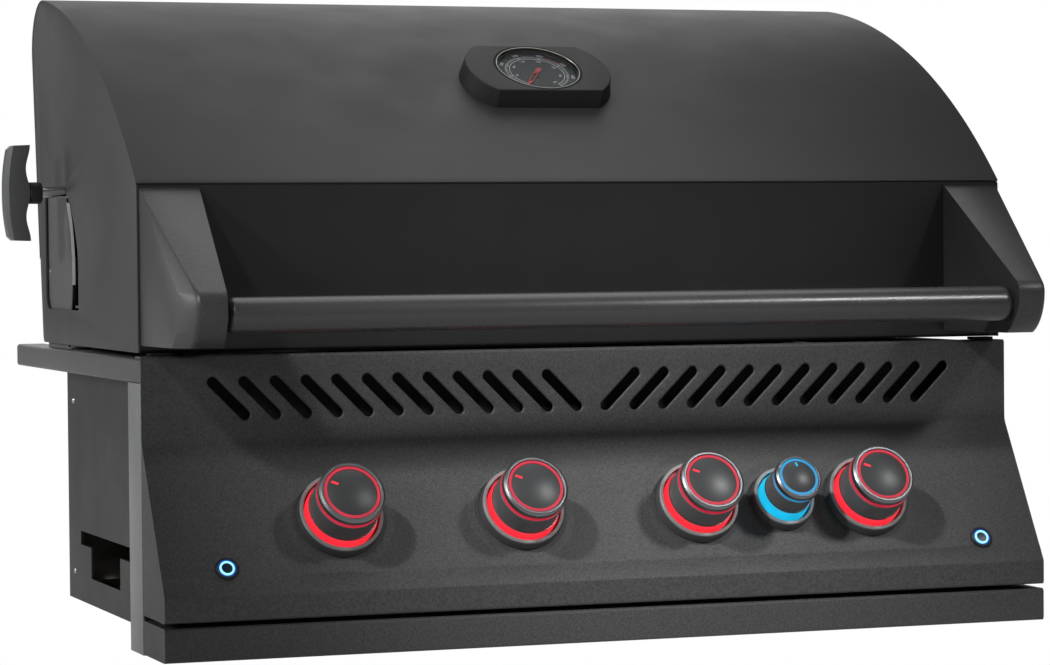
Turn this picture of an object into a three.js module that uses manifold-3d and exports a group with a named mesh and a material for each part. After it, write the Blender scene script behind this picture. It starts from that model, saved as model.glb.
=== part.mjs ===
import * as THREE from 'three';
import { ConvexGeometry } from 'three/addons/geometries/ConvexGeometry.js';
import { mergeVertices } from 'three/addons/utils/BufferGeometryUtils.js';
import Module from 'manifold-3d';

// A built-in gas grill head that hangs in a counter cut-out by its two side flanges.
// Millimetres. X runs to the right, Y to the back and Z up. The origin is on the counter top,
// midway between the flanges, at the back faces of the two front legs.

const wasm = await Module();
wasm.setup();

// Whole grill

const grillWidth = 813;
const sheet = 2;
const seatGap = 0.3;
const cutOver = 5;
const edgeBreak = 0.5;
const arcSteps = 12;
const roundSteps = 24;
const smallSteps = 12;
const nutSides = 6;

// Side trims: the flange on the counter and the front leg

const flangeHeight = 20.7;
const flangeBackReach = 110;
const flangeOverlap = 26;
const legDrop = 230;

// Firebox shell

const fireboxBackReach = 30;
const fireboxDrop = 218.5;
const fireboxFrontY = -22;
const fireboxFrontDrop = 196;
const rearWallTopZ = 60;
const rearShelfDepth = 44;
const rearWingInset = 14;
const rearWingRise = 18;
const serviceTopZ = -152;
const serviceStepZ = -165;
const serviceBottomZ = -194;
const serviceCentreReach = 155;
const serviceTopLength = 206;
const serviceStepLength = 118;

// Lid

const lidFrontY = -40;
const lidBottomZ = 26;
const lidCreaseZ = 170;
const lidCreaseSlope = 45.5;
const lidArcRadius = 640;
const lidArcEnd = 7;
const lidCornerRadius = 47;
const lidRearLean = 7.2;
const lidRearZ = 105;
const lidHeelRadius = 6;
const frontPanelRecess = 2;
const frontPanelHem = 18;

// Lid pivot, spit hole and hinge plate

const pivotInset = 25;
const pivotZ = 92;
const pivotPinRadius = 5;
const pivotHeadRadius = 6.5;
const pivotHeadThickness = 1.8;
const hingePlateRadius = 98.5;
const hingePlateInset = 6;
const hingePlateBackReach = 18;
const hingePlateTopZ = 177;
const hingeFootReach = 82;
const hingeFootWidth = 19;
const armInset = 12;
const armBossRadius = 14;
const armWebRise = 28;
const armWebFall = 7;
const armLowZ = 112;
const armHighZ = 190;
const cutoutReach = 141;
const cutoutBottomZ = 58;
const cutoutRadius = 14;
const cutoutKneeZ = 99;
const cutoutKneeRise = 28;

// Spit

const spitReach = 87;
const spitZ = 165.7;
const spitRadius = 5;
const spitEndInset = 4;
const spitEndGap = 0.6;
const spitEarWall = 6;
const spitNotchRise = 1.5;
const spitNotchSide = 2.1;
const spitShoulder = 14;
const spitBushReach = 21.5;
const spitBushLength = 11.5;
const spitBushRadius = 10;
const gripWidth = 23.5;
const gripHeight = 88;
const gripDepth = 20;
const gripWaist = 5;
const gripHollow = 8;
const gripBulge = 3;
const gripWaistShare = 0.62;
const gripNeckShare = 0.25;
const gripBackShare = 0.95;

// Handle

const barY = -148;
const barZ = 58.4;
const barRadius = 15.5;
const barNeckRadius = 10;
const barRounding = 7;
const barSocketDepth = 7;
const bracketInnerInset = 55.5;
const bracketOuterInset = 2.5;
const bracketNoseY = -168;
const bracketNoseZ = 68;
const bracketInnerTaper = 10;
const bracketOuterTaper = 9;
const bracketSlope = 35;
const bracketBottomZ = 32;
const bracketTopRound = 14;
const bracketBottomRound = 40;
const bracketChamfer = 9;
const bracketChamferDepth = 22;

// Thermometer on the lid

const gaugeX = -5;
const gaugeAngle = 31.2;
const gaugeBaseReach = 72.5;
const gaugeTopReach = 68;
const gaugeCornerReach = 49.5;
const gaugeHalfHeight = 42.4;
const gaugeThickness = 17;
const gaugeFloor = 1.5;
const glassRadius = 41;
const glassThickness = 1.8;
const dialRadius = 37;
const dialDepth = 6;
const probeRadius = 3.5;
const probeLength = 60;
const needleLength = 31;
const needleBodyLength = 22;
const needleTail = 10;
const needleWidth = 6.5;
const needleWindow = 3.2;
const needleWindowLength = 13;
const needleThickness = 1;
const needleLift = 1.2;
const needleRestAngle = 147;
const needlePostRadius = 1.2;

// Control panel

const panelTopZ = 23;
const panelFrontY = -50;
const panelCreaseZ = -50.5;
const panelLipY = -125;
const panelLipZ = -174.8;
const panelBottomZ = -196;
const panelTopHem = 20;
const panelBottomHem = 14;
const slotCount = 12;
const slotEndInset = 76.5;
const slotLength = 49;
const slotWidth = 9;
const slotZ = -14;
const slotSteps = 3;

// Burner knobs, down the sloping face from its top crease

const burnerPitch = 163.6;
const burnerShares = [-1.5, -0.5, 0.5, 1.5];
const smallKnobShare = 1;
const knobDrop = 76;
const knobHeight = 50;
const knobPush = 3;
const knobClear = 3.6;
const capRadius = 28.8;
const smallCapRadius = 21.4;
const bezelRadius = 36.4;
const smallBezelRadius = 28;
const bezelFlare = 3.6;
const bezelHeight = 11;
const bezelWall = 3;
const bezelLedge = 4.5;
const bezelEdge = 1;
const skirtClear = 1;
const skirtDraft = 0.4;
const capHeight = 7.5;
const capDome = 2;
const capDomeShare = 0.6;
const capEdge = 1.2;
const capRingShare = 0.845;
const capRingSink = 1.4;
const neckHeight = 3;
const neckInset = 4;
const lightRingWidth = 3.6;
const stemRadius = 3;
const stemBore = 3.35;
const stemRoof = 14;
const stemDepth = 29;
const panelStemHole = 8;

// Push buttons

const buttonInset = 56.5;
const buttonDrop = 120;
const buttonRadius = 6.6;
const buttonCollar = 10;
const buttonCollarHeight = 2.6;
const buttonTravel = 1.5;
const buttonDepth = 9;
const buttonFlange = 8.4;

// Gas line, burners, sear plates and grids

const valveTopDepth = 24;
const valveLength = 28;
const valveRadius = 13;
const valveNeckRadius = 7;
const manifoldRadius = 9;
const manifoldDepth = 58;
const manifoldEndInset = 44.5;
const jetRadius = 4;
const jetGap = 4;
const inletInset = 54.5;
const inletRadius = 7;
const inletEndY = 150;
const inletNutRadius = 12;
const inletNutLength = 16;
const burnerZ = -126;
const burnerRadius = 12.7;
const burnerBore = 9;
const burnerBoreDepth = 22;
const burnerEndReach = 17;
const burnerHoleClear = 1.2;
const burnerFrontReach = 5;
const searHalfWidth = 52;
const searRise = 36;
const searFootZ = -92;
const searShelf = 12;
const gridTopZ = 12;
const gridThickness = 10;
const gridBackReach = 27;
const gridSideGap = 6;
const gridMiddleGap = 2;
const gridFrame = 10;
const gridSlotWidth = 10;
const gridBarWidth = 8;
const gridLedge = 14;

// Warming rack and rear burner

const rackZ = 112;
const rackFrontReach = 154;
const rackBackReach = 24;
const rackRailFrontReach = 80;
const rackRailBackReach = 32;
const rackEndGap = 1.5;
const rackInset = 66.5;
const rackRail = 6;
const rackWire = 4;
const rackPitch = 34;
const rackPegReach = 10;
const rackPegDepth = 60;
const rearBurnerInset = 121.5;
const rearBurnerReach = 44;
const rearBurnerDepth = 34;
const rearBurnerHeight = 88;
const rearBurnerRim = 12;
const rearBurnerRecess = 6;

// Drip tray, its front, rails, bumpers and ignition module

const drawerTopZ = -200;
const drawerBottomZ = -228.7;
const drawerFrontY = -124.5;
const traySideGap = 45.5;
const trayBackReach = 14;
const trayTopZ = -202.7;
const trayBottomZ = -224;
const trayLip = 17;
const railGap = 9.5;
const bumperLength = 20;
const bumperWidth = 12;
const bumperInset = 9;
const moduleInset = 94.5;
const moduleHalfLength = 22;
const moduleHalfWidth = 16;
const moduleDepth = 26;

// Half widths and places along X that follow the width of the grill

const halfWidth = grillWidth / 2;
const fireboxHalf = halfWidth - flangeOverlap;
const insideHalf = fireboxHalf - sheet - seatGap;
const trayHalfWidth = fireboxHalf - traySideGap;
const rackHalfWidth = halfWidth - rackInset;
const rearBurnerHalfWidth = halfWidth - rearBurnerInset;
const bracketInnerX = halfWidth - bracketInnerInset;
const spitBushX = halfWidth + spitBushReach;
const slotPitch = (halfWidth - slotEndInset) / slotCount;
const buttonX = halfWidth - buttonInset;
const moduleX = halfWidth - moduleInset;
const manifoldEndX = halfWidth - manifoldEndInset;
const inletX = halfWidth - inletInset;

// Materials

const finish = (color, roughness, metalness) =>
  new THREE.MeshStandardMaterial({ color, roughness, metalness });
const satinCharcoal = finish('#4a4c4c', 0.5, 0.3);
const textureCoat = finish('#3a3b3c', 0.65, 0.2);
const darkPanel = finish('#242526', 0.55, 0.2);
const castCoat = finish('#4b4d4d', 0.45, 0.3);
const trimCoat = finish('#5b5e5d', 0.5, 0.3);
const stainless = finish('#b4b2ac', 0.35, 1);
const castIron = finish('#202022', 0.7, 0.4);
const blackPlastic = finish('#1b1b1c', 0.5, 0);
const knobPlastic = finish('#3b3d3f', 0.4, 0.1);
const bezelMetal = finish('#6d706f', 0.35, 0.6);
const clearGlass = finish('#c8d0d0', 0.05, 0);
const needleRed = finish('#c22a30', 0.5, 0);
const chrome = finish('#d0d0cf', 0.15, 1);
const brass = finish('#b08d4a', 0.35, 1);
const rubber = finish('#101010', 0.85, 0);
const ceramicTile = finish('#b9aca0', 0.9, 0);

// Solids and booleans

const degrees = (angle) => angle * Math.PI / 180;

function solidOf(geometry) {
  let bare = geometry;
  if (geometry.attributes.normal) {
    bare = geometry.clone();
    bare.deleteAttribute('normal');
    bare.deleteAttribute('uv');
    bare = mergeVertices(bare);
  }
  return new wasm.Manifold(new wasm.Mesh({
    numProp: 3,
    vertProperties: new Float32Array(bare.attributes.position.array),
    triVerts: new Uint32Array(bare.index.array),
  }));
}

function geometryOf(solid) {
  const mesh = solid.getMesh();
  const geometry = new THREE.BufferGeometry();
  geometry.setAttribute('position', new THREE.BufferAttribute(mesh.vertProperties, 3));
  geometry.setIndex(new THREE.BufferAttribute(mesh.triVerts, 1));
  return geometry;
}

function joined(first, ...others) {
  let solid = solidOf(first);
  for (const other of others) {
    solid = solid.add(solidOf(other));
  }
  return geometryOf(solid);
}

function cut(body, ...tools) {
  let solid = solidOf(body);
  for (const tool of tools) {
    solid = solid.subtract(solidOf(tool));
  }
  return geometryOf(solid);
}

function mirroredX(geometry) {
  const copy = geometryOf(solidOf(geometry)).scale(-1, 1, 1);
  const corners = copy.index;
  for (let first = 0; first < corners.count; first += 3) {
    const second = corners.getX(first + 1);
    corners.setX(first + 1, corners.getX(first + 2));
    corners.setX(first + 2, second);
  }
  return copy;
}

function block(x0, x1, y0, y1, z0, z1) {
  const geometry = new THREE.BoxGeometry(x1 - x0, y1 - y0, z1 - z0);
  return geometry.translate((x0 + x1) / 2, (y0 + y1) / 2, (z0 + z1) / 2);
}

function shapeOf(outline) {
  return outline instanceof THREE.Shape
    ? outline
    : new THREE.Shape(outline.map(([u, v]) => new THREE.Vector2(u, v)));
}

function extruded(outline, depth, curveSegments = arcSteps) {
  return new THREE.ExtrudeGeometry(shapeOf(outline), { depth, curveSegments, bevelEnabled: false });
}

// A YZ outline swept along X, an XZ outline swept along Y, and an XY outline swept along Z

function sweptX(outline, x0, x1, curveSegments) {
  const basis = new THREE.Matrix4().makeBasis(
    new THREE.Vector3(0, 1, 0), new THREE.Vector3(0, 0, 1), new THREE.Vector3(1, 0, 0));
  return extruded(outline, x1 - x0, curveSegments).applyMatrix4(basis).translate(x0, 0, 0);
}

function sweptY(outline, y0, y1, curveSegments) {
  const basis = new THREE.Matrix4().makeBasis(
    new THREE.Vector3(1, 0, 0), new THREE.Vector3(0, 0, 1), new THREE.Vector3(0, -1, 0));
  return extruded(outline, y1 - y0, curveSegments).applyMatrix4(basis).translate(0, y1, 0);
}

function sweptZ(outline, z0, z1, curveSegments) {
  return extruded(outline, z1 - z0, curveSegments).translate(0, 0, z0);
}

// A profile of [radius, height] points turned about the Z axis

function turned(profile, steps = roundSteps) {
  const points = profile.map(([radius, height]) => new THREE.Vector2(radius, height));
  return new THREE.LatheGeometry(points, steps).rotateX(Math.PI / 2);
}

function rodZ(radius, z0, z1, steps = roundSteps) {
  return turned([[0, z0], [radius, z0], [radius, z1], [0, z1]], steps);
}

function rodX(radius, x0, x1, y, z, steps = roundSteps) {
  return rodZ(radius, x0, x1, steps).rotateY(Math.PI / 2).translate(0, y, z);
}

function rodY(radius, y0, y1, x, z, steps = roundSteps) {
  return rodZ(radius, -y1, -y0, steps).rotateX(Math.PI / 2).translate(x, 0, z);
}

const grill = new THREE.Group();
grill.name = 'built_in_grill';

function place(name, geometry, material, parent = grill) {
  const whole = geometryOf(solidOf(geometry));
  whole.computeVertexNormals();
  const mesh = new THREE.Mesh(whole, material);
  mesh.name = name;
  parent.add(mesh);
}

function placePair(name, rightGeometry, material) {
  place(`${name}_right`, rightGeometry, material);
  place(`${name}_left`, mirroredX(rightGeometry), material);
}

// Lid outline: from the front crease up the big arc, round the rear corner and down the rear wall

const arcCentreY = lidFrontY + lidArcRadius * Math.cos(degrees(lidCreaseSlope));
const arcCentreZ = lidCreaseZ - lidArcRadius * Math.sin(degrees(lidCreaseSlope));
const cornerCentreY = arcCentreY - (lidArcRadius - lidCornerRadius) * Math.sin(degrees(lidArcEnd));
const cornerCentreZ = arcCentreZ + (lidArcRadius - lidCornerRadius) * Math.cos(degrees(lidArcEnd));

function rearWallY(z, inset) {
  const lean = degrees(lidRearLean);
  const startY = cornerCentreY + (lidCornerRadius - inset) * Math.cos(lean);
  const startZ = cornerCentreZ - (lidCornerRadius - inset) * Math.sin(lean);
  return startY - (startZ - z) * Math.tan(lean);
}

// Places along Y that follow the rear wall of the lid

const pivotY = rearWallY(pivotZ, 0) - pivotInset;
const spitY = pivotY - spitReach;
const cutoutFrontY = pivotY - cutoutReach;
const hingePlateBackY = pivotY + hingePlateBackReach;
const hingeFootY = pivotY - hingeFootReach;
const rackFrontY = pivotY - rackFrontReach;
const rackBackY = pivotY - rackBackReach;
const rackRailFrontY = pivotY - rackRailFrontReach;
const rackRailBackY = pivotY - rackRailBackReach;
const fireboxBackY = pivotY + fireboxBackReach;
const flangeBackY = fireboxBackY + flangeBackReach;
const serviceCentreY = fireboxBackY - serviceCentreReach;
const burnerEndY = fireboxBackY - burnerEndReach;
const gridBackY = fireboxBackY - gridBackReach;
const rearBurnerFrontY = fireboxBackY - rearBurnerReach;
const trayBackY = fireboxBackY - trayBackReach;

function archZ(y, inset) {
  return arcCentreZ + Math.sqrt((lidArcRadius - inset) ** 2 - (y - arcCentreY) ** 2);
}

function lidLine(inset, frontY, rearZ) {
  const radius = lidArcRadius - inset;
  const startAngle = Math.PI - Math.acos((arcCentreY - frontY) / radius);
  const points = [];
  for (let step = 0; step <= arcSteps; step += 1) {
    const angle = startAngle + (Math.PI / 2 + degrees(lidArcEnd) - startAngle) * step / arcSteps;
    points.push([arcCentreY + radius * Math.cos(angle), arcCentreZ + radius * Math.sin(angle)]);
  }
  const cornerStart = Math.PI / 2 + degrees(lidArcEnd);
  const cornerEnd = -degrees(lidRearLean);
  for (let step = 1; step <= arcSteps; step += 1) {
    const angle = cornerStart + (cornerEnd - cornerStart) * step / arcSteps;
    const reach = lidCornerRadius - inset;
    points.push([cornerCentreY + reach * Math.cos(angle), cornerCentreZ + reach * Math.sin(angle)]);
  }
  points.push([rearWallY(rearZ, inset), rearZ]);
  return points;
}

function hoodSkin() {
  const outer = lidLine(0, lidFrontY, lidRearZ);
  const inner = lidLine(sheet, lidFrontY + sheet * Math.cos(degrees(lidCreaseSlope)), lidRearZ);
  const skin = sweptX([...outer, ...inner.reverse()], -halfWidth, halfWidth);
  const gauge = gaugeFrame();
  const hole = rodZ(probeRadius + seatGap, -cutOver, cutOver, smallSteps).applyMatrix4(gauge);
  return cut(skin, hole);
}

function hoodFrontPanel() {
  const front = lidFrontY + frontPanelRecess;
  const back = front + sheet;
  const top = archZ(front, sheet + seatGap) - seatGap;
  const bottom = lidBottomZ;
  const outline = [
    [front, bottom], [front + frontPanelHem, bottom], [front + frontPanelHem, bottom + sheet],
    [back, bottom + sheet], [back, top], [front, top],
  ];
  const reach = halfWidth - sheet - seatGap * 2;
  return sweptX(outline, -reach, reach);
}

// Pie-shaped cut-out in each lid end, which lets the lid swing past the spit

function endCutout() {
  const top = spitZ + spitRadius + spitNotchRise;
  const notchY = spitY - spitRadius - spitNotchSide;
  const shape = new THREE.Shape();
  shape.moveTo(cutoutFrontY, cutoutBottomZ);
  shape.lineTo(pivotY - cutoutRadius, cutoutBottomZ);
  shape.absarc(pivotY - cutoutRadius, cutoutBottomZ + cutoutRadius, cutoutRadius,
    -Math.PI / 2, 0, false);
  shape.lineTo(pivotY, top);
  shape.lineTo(notchY, top);
  shape.lineTo(spitY - spitShoulder, spitZ - spitRadius);
  shape.quadraticCurveTo(cutoutFrontY, cutoutKneeZ + cutoutKneeRise, cutoutFrontY, cutoutKneeZ);
  shape.lineTo(cutoutFrontY, cutoutBottomZ);
  return shape;
}

function hoodEnd() {
  const inset = sheet + seatGap;
  const line = lidLine(inset, lidFrontY, lidBottomZ + lidHeelRadius);
  const heelY = rearWallY(lidBottomZ, inset);
  const outline = [[lidFrontY, lidBottomZ], ...line, [heelY - lidHeelRadius / 2, lidBottomZ]];
  const plate = sweptX(outline.reverse(), halfWidth - sheet - seatGap, halfWidth - seatGap);
  const hole = sweptX(endCutout(), halfWidth - sheet - cutOver, halfWidth + cutOver, arcSteps / 2);
  return cut(plate, hole);
}

// Hinge: a fixed plate behind each cut-out carries the pin, and an arm on the lid turns on it

const hingePlateX = halfWidth - hingePlateInset;
const armX = halfWidth - armInset;

function hingePlate() {
  const shape = new THREE.Shape();
  const foot = flangeHeight + seatGap;
  const footAngle = Math.PI + Math.asin((pivotZ - foot) / hingePlateRadius);
  const notchHalf = spitRadius + seatGap;
  const earFront = spitY - notchHalf - spitEarWall;
  const earBottom = spitZ - notchHalf - spitEarWall;
  const earAngle = Math.PI - Math.asin((earBottom - pivotZ) / hingePlateRadius);
  shape.moveTo(hingePlateBackY, foot);
  shape.lineTo(hingePlateBackY, hingePlateTopZ);
  shape.lineTo(spitY + notchHalf, hingePlateTopZ);
  shape.lineTo(spitY + notchHalf, spitZ);
  shape.absarc(spitY, spitZ, notchHalf, 0, -Math.PI, true);
  shape.lineTo(spitY - notchHalf, hingePlateTopZ);
  shape.lineTo(earFront, hingePlateTopZ);
  shape.lineTo(earFront, earBottom);
  shape.absarc(pivotY, pivotZ, hingePlateRadius, earAngle, footAngle, false);
  shape.closePath();
  const plate = sweptX(shape, hingePlateX - sheet, hingePlateX, arcSteps / 2);
  const footPlate = block(hingePlateX - hingeFootWidth, hingePlateX, hingeFootY, hingePlateBackY,
    foot, foot + sheet);
  const pinStart = armX - sheet - pivotHeadThickness;
  const pin = rodX(pivotPinRadius, pinStart, hingePlateX + edgeBreak, pivotY, pivotZ);
  const head = rodX(pivotHeadRadius, hingePlateX - sheet / 2, hingePlateX + pivotHeadThickness,
    pivotY, pivotZ, smallSteps);
  const pegTop = rackZ - rackRail / 2 - seatGap;
  const pegMiddle = (rackRailFrontY + rackRailBackY) / 2;
  const peg = block(hingePlateX - sheet - rackPegReach, hingePlateX - sheet / 2,
    pegMiddle - rackPegDepth / 2, pegMiddle + rackPegDepth / 2, pegTop - sheet, pegTop);
  return joined(plate, footPlate, pin, head, peg);
}

function hingeArm() {
  const inset = sheet + seatGap;
  const outline = [
    [rearWallY(armLowZ, inset), armLowZ],
    [rearWallY(armHighZ, inset), armHighZ],
    [pivotY, pivotZ + armWebRise],
    [pivotY - armBossRadius * Math.cos(Math.PI / 6), pivotZ + armWebFall],
    [pivotY, pivotZ],
  ];
  const web = sweptX(outline, armX - sheet, armX);
  const boss = rodX(armBossRadius, armX - sheet, armX, pivotY, pivotZ);
  const bore = rodX(pivotPinRadius + seatGap, armX - sheet - cutOver, armX + cutOver, pivotY, pivotZ);
  return cut(joined(web, boss), bore);
}

// Handle bar and its two cast wedge brackets

const bracketRearY = lidFrontY + frontPanelRecess - seatGap;
const bracketOuterX = halfWidth - bracketOuterInset;

function handleBar() {
  const socketX = barSocketFloor() - seatGap;
  const shoulder = barRadius - barNeckRadius;
  const end = [];
  for (let step = 0; step <= slotSteps; step += 1) {
    const angle = Math.PI / 2 * step / slotSteps;
    end.push([barNeckRadius + shoulder * Math.sin(angle), bracketInnerX + barRounding * Math.cos(angle)]);
  }
  const half = [[0, socketX], [barNeckRadius, socketX], ...end];
  const left = half.map(([radius, x]) => [radius, -x]);
  return turned([...left, ...half.reverse()]).rotateY(Math.PI / 2).translate(0, barY, barZ);
}

function bracketInnerFace(y) {
  return bracketInnerX + bracketInnerTaper * (bracketRearY - y) / (bracketRearY - bracketNoseY);
}

function barSocketFloor() {
  return bracketInnerFace(barY) + barSocketDepth;
}

function bracketOuterFace(y) {
  return bracketOuterX - bracketOuterTaper * (bracketRearY - y) / (bracketRearY - bracketNoseY);
}

// Nose of a bracket in side view, from the end of its slope down to its underside

function bracketNose() {
  const nose = new THREE.Shape();
  const topAngle = Math.PI / 2 + degrees(bracketSlope);
  const bottomAngle = Math.PI + Math.asin((bracketNoseZ - bracketBottomZ) / bracketBottomRound);
  nose.absarc(bracketNoseY + bracketTopRound, bracketNoseZ, bracketTopRound, topAngle, Math.PI, false);
  nose.absarc(bracketNoseY + bracketBottomRound, bracketNoseZ, bracketBottomRound,
    Math.PI, bottomAngle, false);
  return nose.getPoints(slotSteps);
}

// The hull of the inner face, the outer face and the ridge, which runs from the top rear corner
// down the slope and the nose. The chamfer lies between the ridge and the outer face.

function handleBracket() {
  const slope = degrees(bracketSlope);
  const run = bracketRearY - bracketNoseY - bracketTopRound;
  const topZ = bracketNoseZ + (bracketTopRound + run * Math.sin(slope)) / Math.cos(slope);
  const ridgeX = bracketOuterFace(bracketNoseY) - bracketChamfer;
  const corners = [];
  for (const z of [bracketBottomZ, topZ]) {
    corners.push(new THREE.Vector3(bracketInnerX, bracketRearY, z));
    corners.push(new THREE.Vector3(bracketOuterX, bracketRearY, z));
  }
  for (const { x: y, y: z } of bracketNose()) {
    const outerY = y + bracketChamferDepth;
    corners.push(new THREE.Vector3(bracketInnerFace(y), y, z));
    corners.push(new THREE.Vector3(ridgeX, y, z));
    corners.push(new THREE.Vector3(bracketOuterFace(outerY), outerY, z));
  }
  const socket = rodX(barNeckRadius + seatGap, bracketInnerX - cutOver, barSocketFloor(), barY, barZ);
  return cut(new ConvexGeometry(corners), socket);
}

// Thermometer, set square to the lid arc

function gaugeFrame() {
  const angle = degrees(gaugeAngle);
  return new THREE.Matrix4().makeRotationX(angle).setPosition(
    gaugeX, arcCentreY - lidArcRadius * Math.sin(angle), arcCentreZ + lidArcRadius * Math.cos(angle));
}

const glassSeat = gaugeThickness - glassThickness - seatGap * 2;

// Half width of the housing at a height y on its face: the sides are arcs between its corners

function gaugeSide(y, reach) {
  const bulge = reach - gaugeCornerReach;
  const radius = (bulge ** 2 + gaugeHalfHeight ** 2) / (bulge * 2);
  return reach - radius + Math.sqrt(radius ** 2 - y ** 2);
}

function gaugeHousing() {
  const rows = Array.from({ length: arcSteps + 1 },
    (_, row) => gaugeHalfHeight * (row * 2 / arcSteps - 1));
  const outline = rows.map((y) => [gaugeSide(y, gaugeBaseReach), y]);
  outline.push(...rows.reverse().map((y) => [-gaugeSide(y, gaugeBaseReach), y]));
  const housing = sweptZ(outline, -cutOver, gaugeThickness);
  const position = housing.attributes.position;
  for (let index = 0; index < position.count; index += 1) {
    if (position.getZ(index) > 0) {
      const side = Math.sign(position.getX(index));
      position.setX(index, side * gaugeSide(position.getY(index), gaugeTopReach));
    }
  }
  return housing;
}

function gaugeBezel() {
  const dialHole = rodZ(dialRadius + sheet, -cutOver * 2, glassSeat + cutOver);
  const glassHole = rodZ(glassRadius + seatGap, glassSeat, gaugeThickness + cutOver);
  const bezel = cut(gaugeHousing(), dialHole, glassHole).applyMatrix4(gaugeFrame());
  const crown = lidLine(-seatGap, lidFrontY, lidRearZ);
  const underside = sweptX([[lidFrontY, lidRearZ], ...crown].reverse(), -halfWidth, halfWidth);
  return cut(bezel, underside);
}

const dialFloor = glassSeat - dialDepth;

function gaugeBody() {
  const rim = dialRadius + sheet - seatGap;
  const cupBottom = gaugeFloor;
  const wall = rim - sheet;
  return turned([
    [0, -probeLength], [probeRadius, -probeLength], [probeRadius, cupBottom], [rim, cupBottom],
    [rim, glassSeat - seatGap], [wall, glassSeat - seatGap], [wall, dialFloor],
    [needlePostRadius, dialFloor], [needlePostRadius, dialFloor + dialDepth / 2],
    [0, dialFloor + dialDepth / 2],
  ]).applyMatrix4(gaugeFrame());
}

function gaugeNeedle() {
  const low = dialFloor + needleLift;
  const high = low + needleThickness;
  const half = needleWidth / 2;
  const shape = new THREE.Shape();
  shape.moveTo(half, half - needleTail);
  shape.lineTo(half, needleBodyLength - half);
  shape.lineTo(0, needleLength);
  shape.lineTo(-half, needleBodyLength - half);
  shape.lineTo(-half, half - needleTail);
  shape.absarc(0, half - needleTail, half, Math.PI, Math.PI * 2, false);
  const blade = sweptZ(shape, low, high, slotSteps);
  const bore = rodZ(needlePostRadius + seatGap, low - cutOver, high + cutOver, smallSteps);
  const windowFoot = needleBodyLength - half - needleWindowLength;
  const window = block(-needleWindow / 2, needleWindow / 2, windowFoot, windowFoot + needleWindowLength,
    low - cutOver, high + cutOver);
  return cut(blade, bore, window).rotateZ(degrees(needleRestAngle)).applyMatrix4(gaugeFrame());
}

function gaugeGlass() {
  return rodZ(glassRadius, glassSeat + seatGap, glassSeat + seatGap + glassThickness)
    .applyMatrix4(gaugeFrame());
}

// Control panel: x across, y up its sloping face and z out of it, from the crease

const panelSlope = Math.atan2(panelFrontY - panelLipY, panelCreaseZ - panelLipZ);
const panelFrame = new THREE.Matrix4().makeRotationX(Math.PI / 2 - panelSlope)
  .setPosition(0, panelFrontY, panelCreaseZ);

function onPanel(geometry, x, drop) {
  return geometry.translate(x, -drop, 0).applyMatrix4(panelFrame);
}

const knobPlaces = burnerShares.map((share) => ({ x: share * burnerPitch, small: false }));
knobPlaces.splice(-1, 0, { x: smallKnobShare * burnerPitch, small: true });

function slantedSlot() {
  const shape = new THREE.Shape();
  const half = (slotLength - slotWidth) / 2;
  const radius = slotWidth / 2;
  shape.absarc(half, 0, radius, -Math.PI / 2, Math.PI / 2, false);
  shape.absarc(-half, 0, radius, Math.PI / 2, Math.PI * 3 / 2, false);
  return extruded(shape, sheet + cutOver * 2, slotSteps);
}

function panelSlots() {
  const slots = [];
  for (let index = 1; index <= slotCount; index += 1) {
    for (const side of [-1, 1]) {
      const slot = slantedSlot().rotateZ(side * Math.PI / 4).rotateX(Math.PI / 2);
      slots.push(slot.translate(side * index * slotPitch, panelFrontY + sheet + cutOver, slotZ));
    }
  }
  return slots;
}

function controlPanel() {
  const offset = sheet * Math.tan(panelSlope / 2);
  const front = panelFrontY;
  const lip = panelLipY;
  const outline = [
    [front, panelTopZ], [front, panelCreaseZ], [lip, panelLipZ], [lip, panelBottomZ],
    [lip + panelBottomHem, panelBottomZ], [lip + panelBottomHem, panelBottomZ + sheet],
    [lip + sheet, panelBottomZ + sheet], [lip + sheet, panelLipZ + offset],
    [front + sheet, panelCreaseZ + offset], [front + sheet, panelTopZ - sheet],
    [front + panelTopHem, panelTopZ - sheet], [front + panelTopHem, panelTopZ],
  ];
  const face = sweptX(outline, -halfWidth, halfWidth);
  const cheek = sweptX([
    [front, panelCreaseZ], [lip, panelLipZ], [lip, panelBottomZ], [front, panelBottomZ],
  ], halfWidth - sheet, halfWidth);
  const collars = [];
  const holes = panelSlots();
  for (const side of [-1, 1]) {
    const x = side * buttonX;
    collars.push(onPanel(rodZ(buttonCollar, -sheet / 2, buttonCollarHeight), x, buttonDrop));
    holes.push(onPanel(rodZ(buttonRadius + seatGap, -cutOver, cutOver), x, buttonDrop));
  }
  for (const spot of knobPlaces) {
    holes.push(onPanel(rodZ(panelStemHole, -cutOver, cutOver, smallSteps), spot.x, knobDrop));
  }
  return cut(joined(face, cheek, mirroredX(cheek), ...collars), ...holes);
}

// Lit bezels, knobs and stems, all square to the sloping face

function skirtRadius(outerRadius) {
  return outerRadius - bezelWall - lightRingWidth;
}

function knobBezel(outerRadius) {
  const inner = outerRadius - bezelWall;
  const ledge = skirtRadius(outerRadius) + skirtClear;
  const foot = outerRadius + bezelFlare;
  return turned([
    [ledge, seatGap], [foot, seatGap], [foot, seatGap + bezelEdge],
    [outerRadius, bezelHeight - bezelEdge], [outerRadius - bezelEdge, bezelHeight],
    [inner, bezelHeight], [inner, bezelLedge], [ledge, bezelLedge], [ledge, seatGap],
  ]);
}

const stemTop = knobHeight - stemRoof;

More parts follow.
